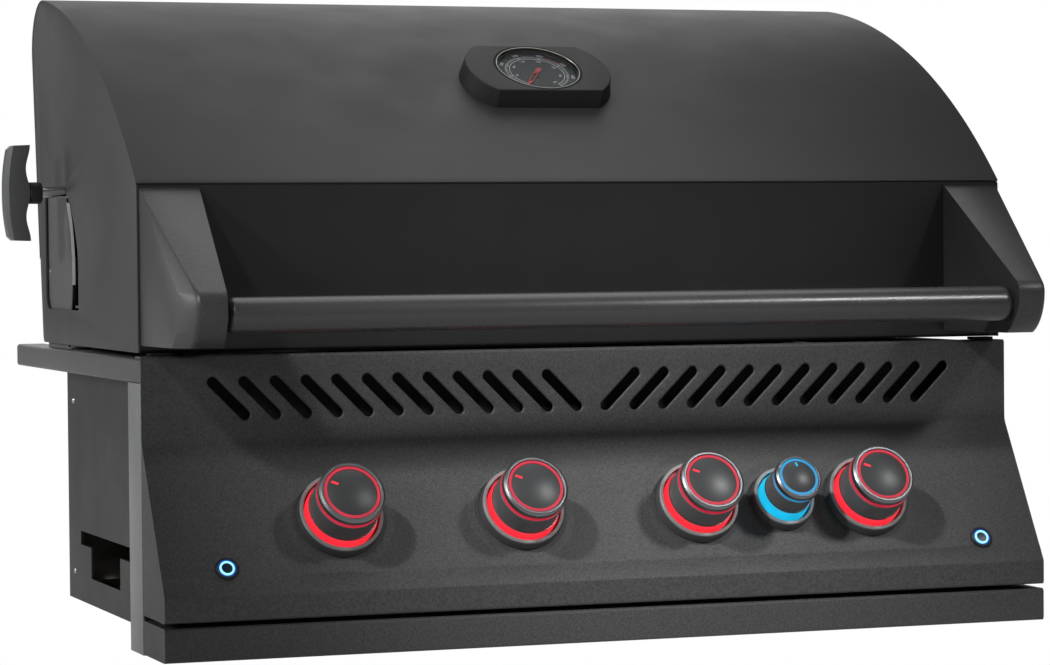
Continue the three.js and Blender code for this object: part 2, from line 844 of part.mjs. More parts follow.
function knobBody(outerRadius, cap) {
  const skirt = skirtRadius(outerRadius);
  const skirtTop = skirt - skirtDraft;
  const rim = knobHeight - capDome;
  const capFoot = rim - capHeight;
  const neckFoot = capFoot - neckHeight;
  const neck = cap - neckInset;
  const ring = cap * capRingShare;
  const ringFloor = rim - capRingSink;
  const dome = ring - lightRingWidth;
  return turned([
    [stemBore, knobClear], [skirt, knobClear], [skirtTop, neckFoot - edgeBreak],
    [skirtTop - edgeBreak, neckFoot], [neck, neckFoot], [neck, capFoot], [cap - capEdge, capFoot],
    [cap, capFoot + capEdge], [cap, rim - capEdge], [cap - capEdge, rim], [ring + edgeBreak, rim],
    [ring, ringFloor], [dome, ringFloor], [dome * capDomeShare, knobHeight - edgeBreak],
    [0, knobHeight], [0, stemTop + seatGap], [stemBore, stemTop + seatGap], [stemBore, knobClear],
  ]);
}

function valveStem() {
  return rodZ(stemRadius, -stemDepth, stemTop, smallSteps);
}

function placeKnobs() {
  const face = new THREE.Group();
  face.applyMatrix4(panelFrame);
  grill.add(face);
  knobPlaces.forEach((spot, index) => {
    const outer = spot.small ? smallBezelRadius : bezelRadius;
    const cap = spot.small ? smallCapRadius : capRadius;
    const seat = new THREE.Group();
    seat.position.set(spot.x, -knobDrop, 0);
    face.add(seat);
    place(`knob_bezel_${index + 1}`, knobBezel(outer), bezelMetal, seat);
    place(`valve_stem_${index + 1}`, valveStem(), brass, seat);
    place(`burner_knob_${index + 1}`, knobBody(outer, cap), knobPlastic, seat);
  });
}

function pushButton() {
  const flangeTop = -sheet - seatGap;
  const flangeFoot = flangeTop - sheet;
  return turned([
    [0, -buttonDepth], [buttonRadius, -buttonDepth], [buttonRadius, flangeFoot - buttonTravel],
    [buttonFlange, flangeFoot], [buttonFlange, flangeTop], [buttonRadius, flangeTop],
    [buttonRadius, buttonCollarHeight], [0, buttonCollarHeight + edgeBreak],
  ]);
}

function ignitionModule() {
  const top = -sheet - seatGap;
  const box = block(-moduleHalfLength, moduleHalfLength, -moduleHalfWidth, moduleHalfWidth,
    top - moduleDepth, top);
  return onPanel(box, moduleX, buttonDrop);
}

// Gas manifold with a valve body and a jet for each burner

function panelPoint(x, drop, height) {
  return new THREE.Vector3(x, -drop, height).applyMatrix4(panelFrame);
}

const manifoldCentre = panelPoint(0, knobDrop, -manifoldDepth);

function gasManifold() {
  const { y: pipeY, z: pipeZ } = manifoldCentre;
  const pipe = rodX(manifoldRadius, -manifoldEndX, manifoldEndX, pipeY, pipeZ, smallSteps);
  const jetEndY = burnerMouthY() - jetGap + cutOver;
  const parts = [];
  const bores = [];
  for (const spot of knobPlaces) {
    const bottom = valveTopDepth + valveLength;
    const body = rodZ(valveRadius, -bottom, -valveTopDepth, smallSteps);
    const neck = rodZ(valveNeckRadius, -manifoldDepth, -bottom + sheet, smallSteps);
    parts.push(onPanel(body, spot.x, knobDrop), onPanel(neck, spot.x, knobDrop));
    const bore = rodZ(stemBore, -stemDepth - knobPush - seatGap, -valveTopDepth + cutOver, smallSteps);
    bores.push(onPanel(bore, spot.x, knobDrop));
    if (!spot.small) {
      const middle = panelPoint(spot.x, knobDrop, -(valveTopDepth + bottom) / 2);
      parts.push(rodY(jetRadius, middle.y, jetEndY, spot.x, burnerZ, smallSteps));
    }
  }
  const inlet = rodY(inletRadius, pipeY, inletEndY, inletX, pipeZ, smallSteps);
  const nut = rodY(inletNutRadius, inletEndY - inletNutLength, inletEndY, inletX, pipeZ, nutSides);
  return cut(joined(pipe, inlet, nut, ...parts), ...bores);
}

// Firebox shell: side walls with rails, front and rear walls with ledges, and a rear wing
// beside each end of the rear burner

function burnerMouthY() {
  return fireboxFrontY - burnerFrontReach;
}

function fireboxSide() {
  const front = panelFrontY + sheet * 2;
  const top = flangeHeight - seatGap;
  const wall = block(fireboxHalf - sheet, fireboxHalf, front, fireboxBackY, -fireboxDrop, top);
  const railTop = trayTopZ - sheet - seatGap;
  const rail = block(trayHalfWidth + railGap, fireboxHalf - sheet / 2, front, fireboxBackY - sheet * 2,
    railTop - sheet, railTop);
  const half = serviceTopLength / 2;
  const stepHalf = serviceStepLength / 2;
  const upper = block(fireboxHalf - cutOver, fireboxHalf + cutOver,
    serviceCentreY - half, serviceCentreY + half, serviceStepZ, serviceTopZ);
  const lower = block(fireboxHalf - cutOver, fireboxHalf + cutOver,
    serviceCentreY - stepHalf, serviceCentreY + stepHalf, serviceBottomZ, serviceStepZ + sheet);
  return cut(joined(wall, rail), upper, lower);
}

function fireboxFront() {
  const back = fireboxFrontY + sheet;
  const wall = block(-insideHalf, insideHalf, fireboxFrontY, back, -fireboxFrontDrop,
    flangeHeight - seatGap);
  const gridSeat = gridTopZ - gridThickness - seatGap;
  const gridShelf = block(-insideHalf, insideHalf, back - sheet / 2, back + gridLedge,
    gridSeat - sheet, gridSeat);
  const searSeat = searFootZ - seatGap;
  const searLedge = block(-insideHalf, insideHalf, back - sheet / 2, back + searShelf,
    searSeat - sheet, searSeat);
  const hole = (radius, x, z) => rodY(radius, fireboxFrontY - cutOver, back + cutOver, x, z);
  const holes = [hole(inletRadius + burnerHoleClear, inletX, manifoldCentre.z)];
  for (const spot of knobPlaces) {
    if (!spot.small) {
      holes.push(hole(burnerRadius + burnerHoleClear, spot.x, burnerZ));
    }
  }
  return cut(joined(wall, gridShelf, searLedge), ...holes);
}

function fireboxRear() {
  const front = fireboxBackY - sheet;
  const wall = block(-insideHalf, insideHalf, front, fireboxBackY, -fireboxDrop, rearWallTopZ);
  const top = block(-insideHalf, insideHalf, fireboxBackY - rearShelfDepth, front + sheet / 2,
    rearWallTopZ - sheet, rearWallTopZ);
  const wingY = fireboxBackY - rearWingInset;
  const wing = block(rearBurnerHalfWidth + seatGap, insideHalf, wingY, wingY + sheet,
    rearWallTopZ - sheet / 2, pivotZ + rearWingRise);
  const gridSeat = gridTopZ - gridThickness - seatGap;
  const gridShelf = block(-insideHalf, insideHalf, gridBackY - gridLedge, front + sheet / 2,
    gridSeat - sheet, gridSeat);
  const searSeat = searFootZ - seatGap;
  const searLedge = block(-insideHalf, insideHalf, front - searShelf, front + sheet / 2,
    searSeat - sheet, searSeat);
  const burnerSeat = burnerZ - burnerRadius - seatGap;
  const burnerLedge = block(-insideHalf, insideHalf, burnerEndY - searShelf, front + sheet / 2,
    burnerSeat - sheet, burnerSeat);
  return joined(wall, top, gridShelf, searLedge, burnerLedge, wing, mirroredX(wing));
}

function burnerTube(x) {
  const start = burnerMouthY();
  const tube = rodY(burnerRadius, start, burnerEndY, x, burnerZ);
  const bore = rodY(burnerBore, start - cutOver, start + burnerBoreDepth, x, burnerZ, smallSteps);
  return cut(tube, bore);
}

function searPlate(x) {
  const half = searHalfWidth;
  const thick = sheet / Math.cos(Math.atan2(searRise, half));
  const outline = [
    [x - half, searFootZ], [x - half, searFootZ + thick], [x, searFootZ + searRise + thick],
    [x + half, searFootZ + thick], [x + half, searFootZ], [x, searFootZ + searRise],
  ];
  return sweptY(outline.reverse(), fireboxFrontY + sheet + seatGap * 2, fireboxBackY - sheet - seatGap * 2);
}

// Cooking grid: a cast plate with long openings between its bars

const gridHalf = fireboxHalf - sheet - gridSideGap;

function cookingGrid() {
  const front = fireboxFrontY + sheet + gridMiddleGap;
  const bottom = gridTopZ - gridThickness;
  const plate = block(gridMiddleGap, gridHalf, front, gridBackY, bottom, gridTopZ);
  const span = gridHalf - gridMiddleGap - gridFrame * 2 + gridBarWidth;
  const count = Math.floor(span / (gridSlotWidth + gridBarWidth));
  const pitch = span / count;
  const slots = [];
  for (let index = 0; index < count; index += 1) {
    const left = gridMiddleGap + gridFrame + index * pitch;
    slots.push(block(left, left + pitch - gridBarWidth, front + gridFrame, gridBackY - gridFrame,
      bottom - cutOver, gridTopZ + cutOver));
  }
  return cut(plate, ...slots);
}

// Warming rack: two rails from hinge plate to hinge plate, end bars and cross wires

function warmingRack() {
  const railEnd = hingePlateX - sheet - rackEndGap;
  const bar = (x0, x1, y0, y1, thick) => block(x0, x1, y0, y1, rackZ - thick / 2, rackZ + thick / 2);
  const half = rackRail / 2;
  const bars = [
    bar(-railEnd, railEnd, rackRailFrontY - half, rackRailFrontY + half, rackRail),
    bar(-railEnd, railEnd, rackRailBackY - half, rackRailBackY + half, rackRail),
    bar(-rackHalfWidth, rackHalfWidth, rackFrontY, rackFrontY + rackRail, rackRail),
  ];
  const count = Math.round(rackHalfWidth * 2 / rackPitch);
  const wireSpan = rackHalfWidth * 2 - rackWire * 2;
  for (let index = 0; index <= count; index += 1) {
    const x = -wireSpan / 2 + index * wireSpan / count;
    bars.push(bar(x - rackWire / 2, x + rackWire / 2, rackFrontY + half, rackBackY, rackWire));
  }
  return joined(...bars);
}

// Infrared rear burner: a housing with a recessed ceramic face

function rearBurner() {
  const bottom = rearWallTopZ + seatGap;
  const back = rearBurnerFrontY + rearBurnerDepth;
  const half = rearBurnerHalfWidth;
  const housing = block(-half, half, rearBurnerFrontY, back, bottom, bottom + rearBurnerHeight);
  const face = block(-half + rearBurnerRim, half - rearBurnerRim, rearBurnerFrontY - cutOver,
    rearBurnerFrontY + rearBurnerRecess, bottom + rearBurnerRim, bottom + rearBurnerHeight - rearBurnerRim);
  return cut(housing, face);
}

// Side trim: a channel that lies on the counter, with the front leg that hides the cut-out edge

function sideTrim() {
  const outer = halfWidth;
  const inner = fireboxHalf + seatGap;
  const front = panelFrontY + sheet + seatGap;
  const lip = block(outer - sheet, outer, front, flangeBackY, 0, flangeHeight);
  const seat = block(inner, outer - sheet / 2, front, flangeBackY, 0, sheet);
  const top = block(inner, outer - sheet / 2, front, flangeBackY, flangeHeight - sheet, flangeHeight);
  const legFace = block(outer - sheet, outer, front, 0, -legDrop, sheet);
  const legBack = block(inner, outer - sheet / 2, -sheet, 0, -legDrop, sheet);
  const legFoot = block(inner, outer - sheet / 2, front, 0, -legDrop, -legDrop + sheet);
  return joined(lip, seat, top, legFace, legBack, legFoot);
}

// Drip tray and its front

const trayFrontY = drawerFrontY + sheet + seatGap;

function drawerFront() {
  const back = panelFrontY - seatGap;
  const front = drawerFrontY;
  const outline = [
    [front, drawerBottomZ], [back, drawerBottomZ], [back, drawerBottomZ + sheet],
    [front + sheet, drawerBottomZ + sheet], [front + sheet, drawerTopZ - sheet],
    [back, drawerTopZ - sheet], [back, drawerTopZ], [front, drawerTopZ],
  ];
  const face = sweptX(outline, -halfWidth, halfWidth);
  const cheek = block(halfWidth - sheet, halfWidth, front + sheet / 2, back, drawerBottomZ, drawerTopZ);
  return joined(face, cheek, mirroredX(cheek));
}

function dripTray() {
  const pan = block(-trayHalfWidth, trayHalfWidth, trayFrontY, trayBackY, trayBottomZ, trayTopZ);
  const hollow = block(-trayHalfWidth + sheet, trayHalfWidth - sheet,
    trayFrontY + sheet, trayBackY - sheet, trayBottomZ + sheet, trayTopZ + cutOver);
  const reach = trayHalfWidth + trayLip;
  const lips = block(-reach, reach, panelFrontY + sheet * 2, trayBackY, trayTopZ - sheet, trayTopZ);
  return cut(joined(pan, lips), hollow);
}

function lidBumper() {
  const x1 = halfWidth - bumperInset;
  const y0 = panelFrontY + cutOver;
  return block(x1 - bumperLength, x1, y0, y0 + bumperWidth, panelTopZ + seatGap, lidBottomZ - seatGap);
}

// Spit with its bushing and T grip on the left

function spitRod() {
  const left = -spitBushX - spitBushLength - gripWidth / 2;
  return rodX(spitRadius, left, hingePlateX + spitEndInset / 2, spitY, spitZ);
}

function spitBushing() {
  const outer = rodX(spitBushRadius, -spitBushX - spitBushLength, -spitBushX, spitY, spitZ);
  const bore = rodX(spitRadius + seatGap, -spitBushX - spitBushLength - cutOver, -spitBushX + cutOver,
    spitY, spitZ);
  return cut(outer, bore);
}

function spitGrip() {
  const right = -spitBushX - spitBushLength - seatGap;
  const left = right - gripWidth;
  const half = gripHeight / 2;
  const shape = new THREE.Shape();
  shape.moveTo(right - gripWaist / 2, spitZ + half);
  const waist = half * gripWaistShare;
  const neck = half * gripNeckShare;
  const backHalf = half * gripBackShare;
  shape.quadraticCurveTo(right - gripHollow, spitZ + waist, right, spitZ + neck);
  shape.lineTo(right, spitZ - neck);
  shape.quadraticCurveTo(right - gripHollow, spitZ - waist, right - gripWaist / 2, spitZ - half);
  shape.lineTo(left + gripBulge, spitZ - backHalf);
  shape.quadraticCurveTo(left - gripBulge, spitZ, left + gripBulge, spitZ + backHalf);
  shape.closePath();
  const body = sweptY(shape, spitY - gripDepth / 2, spitY + gripDepth / 2, arcSteps / 2);
  const boreX = left + gripWidth / 2 - spitEndGap;
  const bore = rodX(spitRadius + seatGap, boreX, right + cutOver, spitY, spitZ);
  return cut(body, bore);
}

// Assembly

place('hood_skin', hoodSkin(), satinCharcoal);
place('hood_front_panel', hoodFrontPanel(), darkPanel);
placePair('hood_end', hoodEnd(), satinCharcoal);
placePair('hinge_arm', hingeArm(), stainless);
place('handle_bar', handleBar(), castCoat);
placePair('handle_bracket', handleBracket(), castCoat);
place('thermometer_bezel', gaugeBezel(), blackPlastic);
place('thermometer_body', gaugeBody(), stainless);
place('thermometer_glass', gaugeGlass(), clearGlass);
place('thermometer_needle', gaugeNeedle(), needleRed);

place('control_panel', controlPanel(), textureCoat);
placeKnobs();
for (const [side, direction] of [['left', -1], ['right', 1]]) {
  place(`push_button_${side}`, onPanel(pushButton(), direction * buttonX, buttonDrop), blackPlastic);
}
place('ignition_module', ignitionModule(), blackPlastic);
place('gas_manifold', gasManifold(), brass);

placePair('firebox_side', fireboxSide(), stainless);
place('firebox_front', fireboxFront(), darkPanel);
place('firebox_rear', fireboxRear(), stainless);
placePair('hinge_plate', hingePlate(), trimCoat);
placePair('side_trim', sideTrim(), trimCoat);
const burnerSpots = knobPlaces.filter((spot) => !spot.small);
burnerSpots.forEach((spot, index) => {
  place(`burner_${index + 1}`, burnerTube(spot.x), stainless);
  place(`sear_plate_${index + 1}`, searPlate(spot.x), stainless);
});
placePair('cooking_grid', cookingGrid(), castIron);
place('warming_rack', warmingRack(), stainless);
place('rear_burner', rearBurner(), ceramicTile);
placePair('lid_bumper', lidBumper(), rubber);

place('drawer_front', drawerFront(), textureCoat);
place('drip_tray', dripTray(), stainless);

place('spit_rod', spitRod(), chrome);
place('spit_bushing', spitBushing(), blackPlastic);
place('spit_grip', spitGrip(), knobPlastic);

export default grill;
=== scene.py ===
from math import acos, asin, atan2, copysign, cos, hypot, pi, radians, sin, sqrt, tan, tau

import bmesh
import bpy
from bpy.props import FloatProperty, FloatVectorProperty, IntProperty, PointerProperty
from mathutils import Matrix, Vector


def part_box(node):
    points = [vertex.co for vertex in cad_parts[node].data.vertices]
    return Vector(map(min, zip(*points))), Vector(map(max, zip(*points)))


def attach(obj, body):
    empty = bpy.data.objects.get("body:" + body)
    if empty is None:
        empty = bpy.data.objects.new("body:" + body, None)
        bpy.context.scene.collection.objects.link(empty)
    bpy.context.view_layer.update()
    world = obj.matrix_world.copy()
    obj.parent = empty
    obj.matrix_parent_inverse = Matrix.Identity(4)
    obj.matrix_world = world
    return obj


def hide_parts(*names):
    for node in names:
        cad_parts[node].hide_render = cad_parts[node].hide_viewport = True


bl_info = {
    "name": "Built-in Gas Grill",
    "version": (1, 0, 0),
    "blender": (4, 5, 0),
    "location": "3D View > Sidebar > Grill",
    "description": "Dresses the packed frame of a built-in gas grill with detailed pieces and finishes",
    "category": "Object",
}

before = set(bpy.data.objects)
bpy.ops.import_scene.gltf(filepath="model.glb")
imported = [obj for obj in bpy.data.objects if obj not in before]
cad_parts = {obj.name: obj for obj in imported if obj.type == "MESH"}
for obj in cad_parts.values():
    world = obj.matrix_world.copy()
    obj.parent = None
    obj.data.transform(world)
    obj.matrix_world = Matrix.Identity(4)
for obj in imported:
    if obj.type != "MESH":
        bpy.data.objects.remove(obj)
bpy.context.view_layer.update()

MM = 0.001
TINY = 1e-6
WELD = 1e-5


def linear(hex_colour):
    """The linear value of an sRGB colour written as #rrggbb."""
    values = [int(hex_colour[place:place + 2], 16) / 255 for place in (1, 3, 5)]
    return tuple(v / 12.92 if v <= 0.04045 else ((v + 0.055) / 1.055) ** 2.4 for v in values)


# Sizes that follow the CAD frame

LID_FRONT = -40 * MM
LID_BOTTOM = 26 * MM
CREASE = 170 * MM
ARC_RADIUS = 640 * MM
ARC_START = radians(134.5)
ARC_END = radians(97)
CORNER_RADIUS = 47 * MM
REAR_LEAN = radians(7.2)
SKIN_REAR = 105 * MM
SEAT = 0.3 * MM
PIVOT = Vector((0, 332.145 * MM, 92 * MM))
SPIT = Vector((0, 245.145 * MM, 165.7 * MM))
BRACKET_INNER = 351 * MM
PANEL_FRONT = -50 * MM
PANEL_TOP = 23 * MM
PANEL_CREASE = -50.5 * MM
PANEL_LIP = -125 * MM
PANEL_LIP_TOP = -174.8 * MM
PANEL_BOTTOM = -196 * MM
SLOT_Z = -14 * MM
GAUGE_ANGLE = radians(31.2)
GAUGE_X = -5 * MM
GAUGE_HEIGHT = 17 * MM
KNOB_DROP = 76 * MM
BURNER_PITCH = 163.6 * MM
BUTTON_X = 350 * MM
BUTTON_DROP = 120 * MM

RIGHT_ANGLE = pi / 2
SIDEWAYS = Matrix.Rotation(RIGHT_ANGLE, 4, "Y")
ARC_CENTRE = Vector((0, LID_FRONT - ARC_RADIUS * cos(ARC_START),
                     CREASE - ARC_RADIUS * sin(ARC_START)))
CORNER_CENTRE = ARC_CENTRE + (ARC_RADIUS - CORNER_RADIUS) * Vector((0, cos(ARC_END), sin(ARC_END)))
PANEL_SLOPE = atan2(PANEL_FRONT - PANEL_LIP, PANEL_CREASE - PANEL_LIP_TOP)
PANEL_FRAME = Matrix.Translation((0, PANEL_FRONT, PANEL_CREASE)) @ Matrix.Rotation(
    RIGHT_ANGLE - PANEL_SLOPE, 4, "X")
GAUGE_FRAME = Matrix.Translation((
    GAUGE_X, ARC_CENTRE.y - ARC_RADIUS * sin(GAUGE_ANGLE),
    ARC_CENTRE.z + ARC_RADIUS * cos(GAUGE_ANGLE))) @ Matrix.Rotation(GAUGE_ANGLE, 4, "X")


def on_slope(x, drop):
    """The frame of a point on the panel's slope, a drop below its upper fold."""
    return PANEL_FRAME @ Matrix.Translation((x, -drop, 0))


# Each knob's frame, and whether it is the small one
KNOB_SEATS = [(on_slope(pitches * BURNER_PITCH, KNOB_DROP), pitches == 1)
              for pitches in (-1.5, -0.5, 0.5, 1, 1.5)]


def length(name, description, default):
    """A length that a user can change, in metres."""
    return FloatProperty(name=name, description=description, default=default, unit="LENGTH",
                         subtype="DISTANCE")


def paint(name, description, default):
    """A colour that a user can change, from an sRGB hex value."""
    return FloatVectorProperty(name=name, description=description, default=linear(default),
                               subtype="COLOR", size=3, min=0, max=1)


class GrillSizes(bpy.types.PropertyGroup):
    """Sizes of the visible pieces."""

    width: length("Lid width", "Width of the lid across its end plates",
                  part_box("hood_skin")[1].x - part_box("hood_skin")[0].x)
    sheet: length("Sheet", "Thickness of the folded sheet metal", 2 * MM)
    edge_radius: length("Edge radius", "Rounding of a cut and coated sheet edge", 0.5 * MM)
    fold_radius: length("Fold radius", "Outer radius of a fold in the control panel", 4 * MM)
    bar_radius: length("Handle bar radius", "Radius of the lid's handle bar", 15.5 * MM)
    slot_count: IntProperty(
        name="Slots", description="Number of vent slots on each side of the middle", default=12, min=1)
    slot_pitch: length("Slot pitch", "Distance from one vent slot to the next", 27.5 * MM)
    slot_length: length("Slot length", "Length of a vent slot from end to end", 49 * MM)
    slot_width: length("Slot width", "Width of a vent slot", 9 * MM)
    cap_radius: length("Knob cap radius", "Radius of the cap of a large knob", 28.8 * MM)
    small_cap_radius: length("Small knob cap radius", "Radius of the cap of the small knob", 21.4 * MM)
    bezel_radius: length("Bezel radius", "Outer radius of the ring around a large knob", 36.4 * MM)
    small_bezel_radius: length(
        "Small bezel radius", "Outer radius of the ring around the small knob", 28 * MM)
    dial_radius: length("Dial radius", "Radius of the thermometer's printed dial", 37 * MM)


class GrillColours(bpy.types.PropertyGroup):
    """Colours of the finishes and lights."""

    enamel: paint("Lid enamel", "Satin enamel of the lid", "#3c3c3c")
    inset: paint("Lid front enamel", "Dark enamel of the recessed lid front", "#191919")
    powder: paint("Powder coat", "Textured coat of the control panel and drawer", "#434343")
    casting: paint("Casting coat", "Coat of the handle bar and its brackets", "#404040")
    trim: paint("Trim enamel", "Enamel of the side trims and the hinge plates", "#545454")
    knob: paint("Knob plastic", "Moulded plastic of the knobs", "#58595a")
    knob_light: paint("Knob light", "Light in the large knobs", "#ff2a3a")
    side_light: paint("Small knob light", "Light in the small knob", "#10b4e0")
    button_light: paint("Button light", "Light around the push buttons", "#9be8ff")


# Shapes from bmesh operators


def arc(centre, radius, start, end, steps):
    """Points (u, v) along an arc, both ends included, angles in radians."""
    return [(centre[0] + radius * cos(start + (end - start) * step / steps),
             centre[1] + radius * sin(start + (end - start) * step / steps))
            for step in range(steps + 1)]


def filleted(points, radii, steps=6):
    """An open line of (u, v) points whose inner corners are rounded with the given radii."""
    result = [points[0]]
    for before, corner, after, radius in zip(points, points[1:], points[2:], radii):
        corner = Vector(corner)
        to_before = (Vector(before) - corner).normalized()
        to_after = (Vector(after) - corner).normalized()
        half = to_before.angle(to_after) / 2
        if radius <= 0 or half > RIGHT_ANGLE - TINY:
            result.append(tuple(corner))
            continue
        centre = corner + (to_before + to_after).normalized() * (radius / sin(half))
        first = corner + to_before * (radius / tan(half)) - centre
        last = corner + to_after * (radius / tan(half)) - centre
        for step in range(steps + 1):
            result.append(tuple(centre + first.slerp(last, step / steps).normalized() * radius))
    result.append(points[-1])
    return result


def on_yz(points, x):
    return [(x, u, v) for u, v in points]


def on_xz(points, y):
    return [(u, y, v) for u, v in points]


def on_xy(points, z):
    return [(u, v, z) for u, v in points]


def shifted(bm, swept, travel):
    """Moves the new points of a sweep along a vector."""
    points = [item for item in swept["geom"] if isinstance(item, bmesh.types.BMVert)]
    bmesh.ops.translate(bm, verts=points, vec=travel)


def solid_from(points, travel):
    """A closed flat outline of (x, y, z) points swept along a vector into a solid."""
    bm = bmesh.new()
    face = bm.faces.new([bm.verts.new(point) for point in points])
    shifted(bm, bmesh.ops.extrude_face_region(bm, geom=[face]), travel)
    bmesh.ops.recalc_face_normals(bm, faces=bm.faces)
    return bm


def sheet_from(points, travel, thickness):
    """An open line swept along a vector and thickened into folded sheet metal.

    The metal lies on the side that the line's run crossed with the travel points to,
    or on the other side when the thickness is negative.
    """
    bm = bmesh.new()
    verts = [bm.verts.new(point) for point in points]
    edges = [bm.edges.new(ends) for ends in zip(verts, verts[1:])]
    shifted(bm, bmesh.ops.extrude_edge_only(bm, edges=edges), travel)
    bmesh.ops.solidify(bm, geom=list(bm.faces), thickness=thickness)
    bmesh.ops.recalc_face_normals(bm, faces=bm.faces)
    return bm


def turned(profile, radii=(), steps=96):
    """A profile of (radius, height) points in millimetres, spun about the Z axis.

    Its inner corners are rounded with the given radii. A profile that starts off the axis is closed.
    """
    line = [(radius * MM, height * MM) for radius, height in profile]
    if line[0][0] > 0:
        line.append(line[0])
    if radii:
        unrounded = len(line) - 2 - len(radii)
        line = filleted(line, [radius * MM for radius in radii] + [0] * unrounded)
    bm = bmesh.new()
    verts = [bm.verts.new((radius, 0, height)) for radius, height in line]
    edges = [bm.edges.new(ends) for ends in zip(verts, verts[1:])]
    bmesh.ops.spin(bm, geom=verts + edges, cent=(0, 0, 0), axis=(0, 0, 1), angle=tau,
                   steps=steps, use_merge=True, use_duplicate=False)
    bmesh.ops.remove_doubles(bm, verts=bm.verts, dist=TINY)
    bmesh.ops.recalc_face_normals(bm, faces=bm.faces)
    return bm


def block(low, high):
    """A box between two corners."""
    bm = bmesh.new()
    bmesh.ops.create_cube(bm, size=1)
    bmesh.ops.scale(bm, vec=Vector(high) - Vector(low), verts=bm.verts)
    bmesh.ops.translate(bm, vec=(Vector(high) + Vector(low)) / 2, verts=bm.verts)
    return bm


def rod_between(start, end, radius, steps):
    """A round rod between two points."""
    start, end = Vector(start), Vector(end)
    bm = bmesh.new()
    turn = (end - start).to_track_quat("Z", "Y").to_matrix().to_4x4()
    bmesh.ops.create_cone(bm, cap_ends=True, segments=steps, radius1=radius, radius2=radius,
                          depth=(end - start).length,
                          matrix=Matrix.Translation((start + end) / 2) @ turn)
    return bm


def softened(bm, radius, segments, angle, test=None):
    """Rounds the edges that are sharper than an angle in degrees, or those of them that a test picks."""
    limit = radians(angle)
    edges = [edge for edge in bm.edges
             if len(edge.link_faces) == 2 and edge.calc_face_angle() > limit
             and (test is None or test(edge))]
    bmesh.ops.bevel(bm, geom=edges, offset=radius, offset_type="OFFSET", affect="EDGES",
                    segments=segments, profile=0.5, material=-1, clamp_overlap=True)
    return bm


def placed(bm, matrix):
    bmesh.ops.transform(bm, matrix=matrix, verts=bm.verts)
    return bm


def mirrored(bm):
    """A copy mirrored across the middle of the grill."""
    copy = bm.copy()
    bmesh.ops.scale(copy, vec=(-1, 1, 1), verts=copy.verts)
    bmesh.ops.reverse_faces(copy, faces=copy.faces)
    return copy


def merged(*parts):
    """Several bmeshes as one."""
    whole = bmesh.new()
    for part in parts:
        mesh = bpy.data.meshes.new("joined")
        part.to_mesh(mesh)
        whole.from_mesh(mesh)
        bpy.data.meshes.remove(mesh)
    return whole


def carved(body, cutter, weld=True):
    """The body with the cutter's space taken out of it."""
    objects = [linked(name, bm) for name, bm in (("carved_body", body), ("carved_tool", cutter))]
    cut = objects[0].modifiers.new("cut", "BOOLEAN")
    cut.operation = "DIFFERENCE"
    cut.solver = "EXACT"
    cut.object = objects[1]
    bpy.context.view_layer.update()
    evaluated = objects[0].evaluated_get(bpy.context.evaluated_depsgraph_get())
    result = bmesh.new()
    result.from_mesh(evaluated.to_mesh())
    evaluated.to_mesh_clear()
    for obj in objects:
        mesh = obj.data
        bpy.data.objects.remove(obj)
        bpy.data.meshes.remove(mesh)
    if weld:
        bmesh.ops.remove_doubles(result, verts=result.verts, dist=WELD)
    return result


def linked(name, bm):
    """An object of the scene with a bmesh's shape."""
    mesh = bpy.data.meshes.new(name)
    bm.to_mesh(mesh)
    bm.free()
    obj = bpy.data.objects.new(name, mesh)
    bpy.context.scene.collection.objects.link(obj)
    return obj


def piece(name, bm, finish, body, replaces=(), smooth_angle=35):
    """Turns a bmesh into a named piece that rides on a body of the frame."""
    obj = linked(name, bm)
    obj.data.shade_smooth()
    obj.data.set_sharp_from_angle(angle=radians(smooth_angle))
    obj.data.materials.append(FINISHES[finish])
    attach(obj, body)
    if replaces:
        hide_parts(*replaces)


def pair(name, bm, finish, body, replaced=None):
    """A piece at the right end of the grill and its mirror image at the left end."""
    for side, shape in (("left", mirrored(bm)), ("right", bm)):
        piece(f"{name}_{side}", shape, finish, body, [f"{replaced}_{side}"] if replaced else ())


def turned_pieces(place, body, slot, *rows):
    """Turned pieces in one place: rows of name, finish, profile, radii and the name of a replaced node."""
    for name, finish, profile, *rest in rows:
        radii, *replaced = rest or [()]
        piece(name, placed(turned(profile, radii), place), finish, body, replaced)


# Materials


def add(tree, kind, sockets=None, **settings):
    """Adds one shader node with its settings, and fills or links its sockets."""
    node = tree.nodes.new(kind)
    for key, value in settings.items():
        setattr(node, key, value)
    for key, value in (sockets or {}).items():
        if isinstance(value, bpy.types.NodeSocket):
            tree.links.new(value, node.inputs[key])
        else:
            node.inputs[key].default_value = value
    return node


def blank(name):
    """A new material, its empty node tree and the object's own coordinates."""
    material = bpy.data.materials.new(name)
    material.use_nodes = True
    tree = material.node_tree
    tree.nodes.clear()
    return material, tree, add(tree, "ShaderNodeTexCoord").outputs["Object"]


def noise(tree, place, size, detail=2.0, roughness=0.5):
    """Noise with patches of a size in millimetres."""
    return add(tree, "ShaderNodeTexNoise", {
        "Vector": place, "Scale": 1 / (size * MM), "Detail": detail, "Roughness": roughness}).outputs["Fac"]


def ranged(tree, value, low, high, start=0.0, end=1.0):
    """A value between start and end, mapped to run from low to high."""
    return add(tree, "ShaderNodeMapRange", {
        "Value": value, "From Min": start, "From Max": end, "To Min": low, "To Max": high}).outputs["Result"]


def blend(tree, share, first, second):
    return add(tree, "ShaderNodeMix", {"Factor": share, "A": first, "B": second},
               data_type="RGBA").outputs["Result"]


def tinted(colour, factor):
    """A colour, linear or as sRGB hex, made lighter or darker by a factor."""
    channels = linear(colour) if isinstance(colour, str) else colour
    return (*[min(1.0, channel * factor) for channel in channels], 1.0)


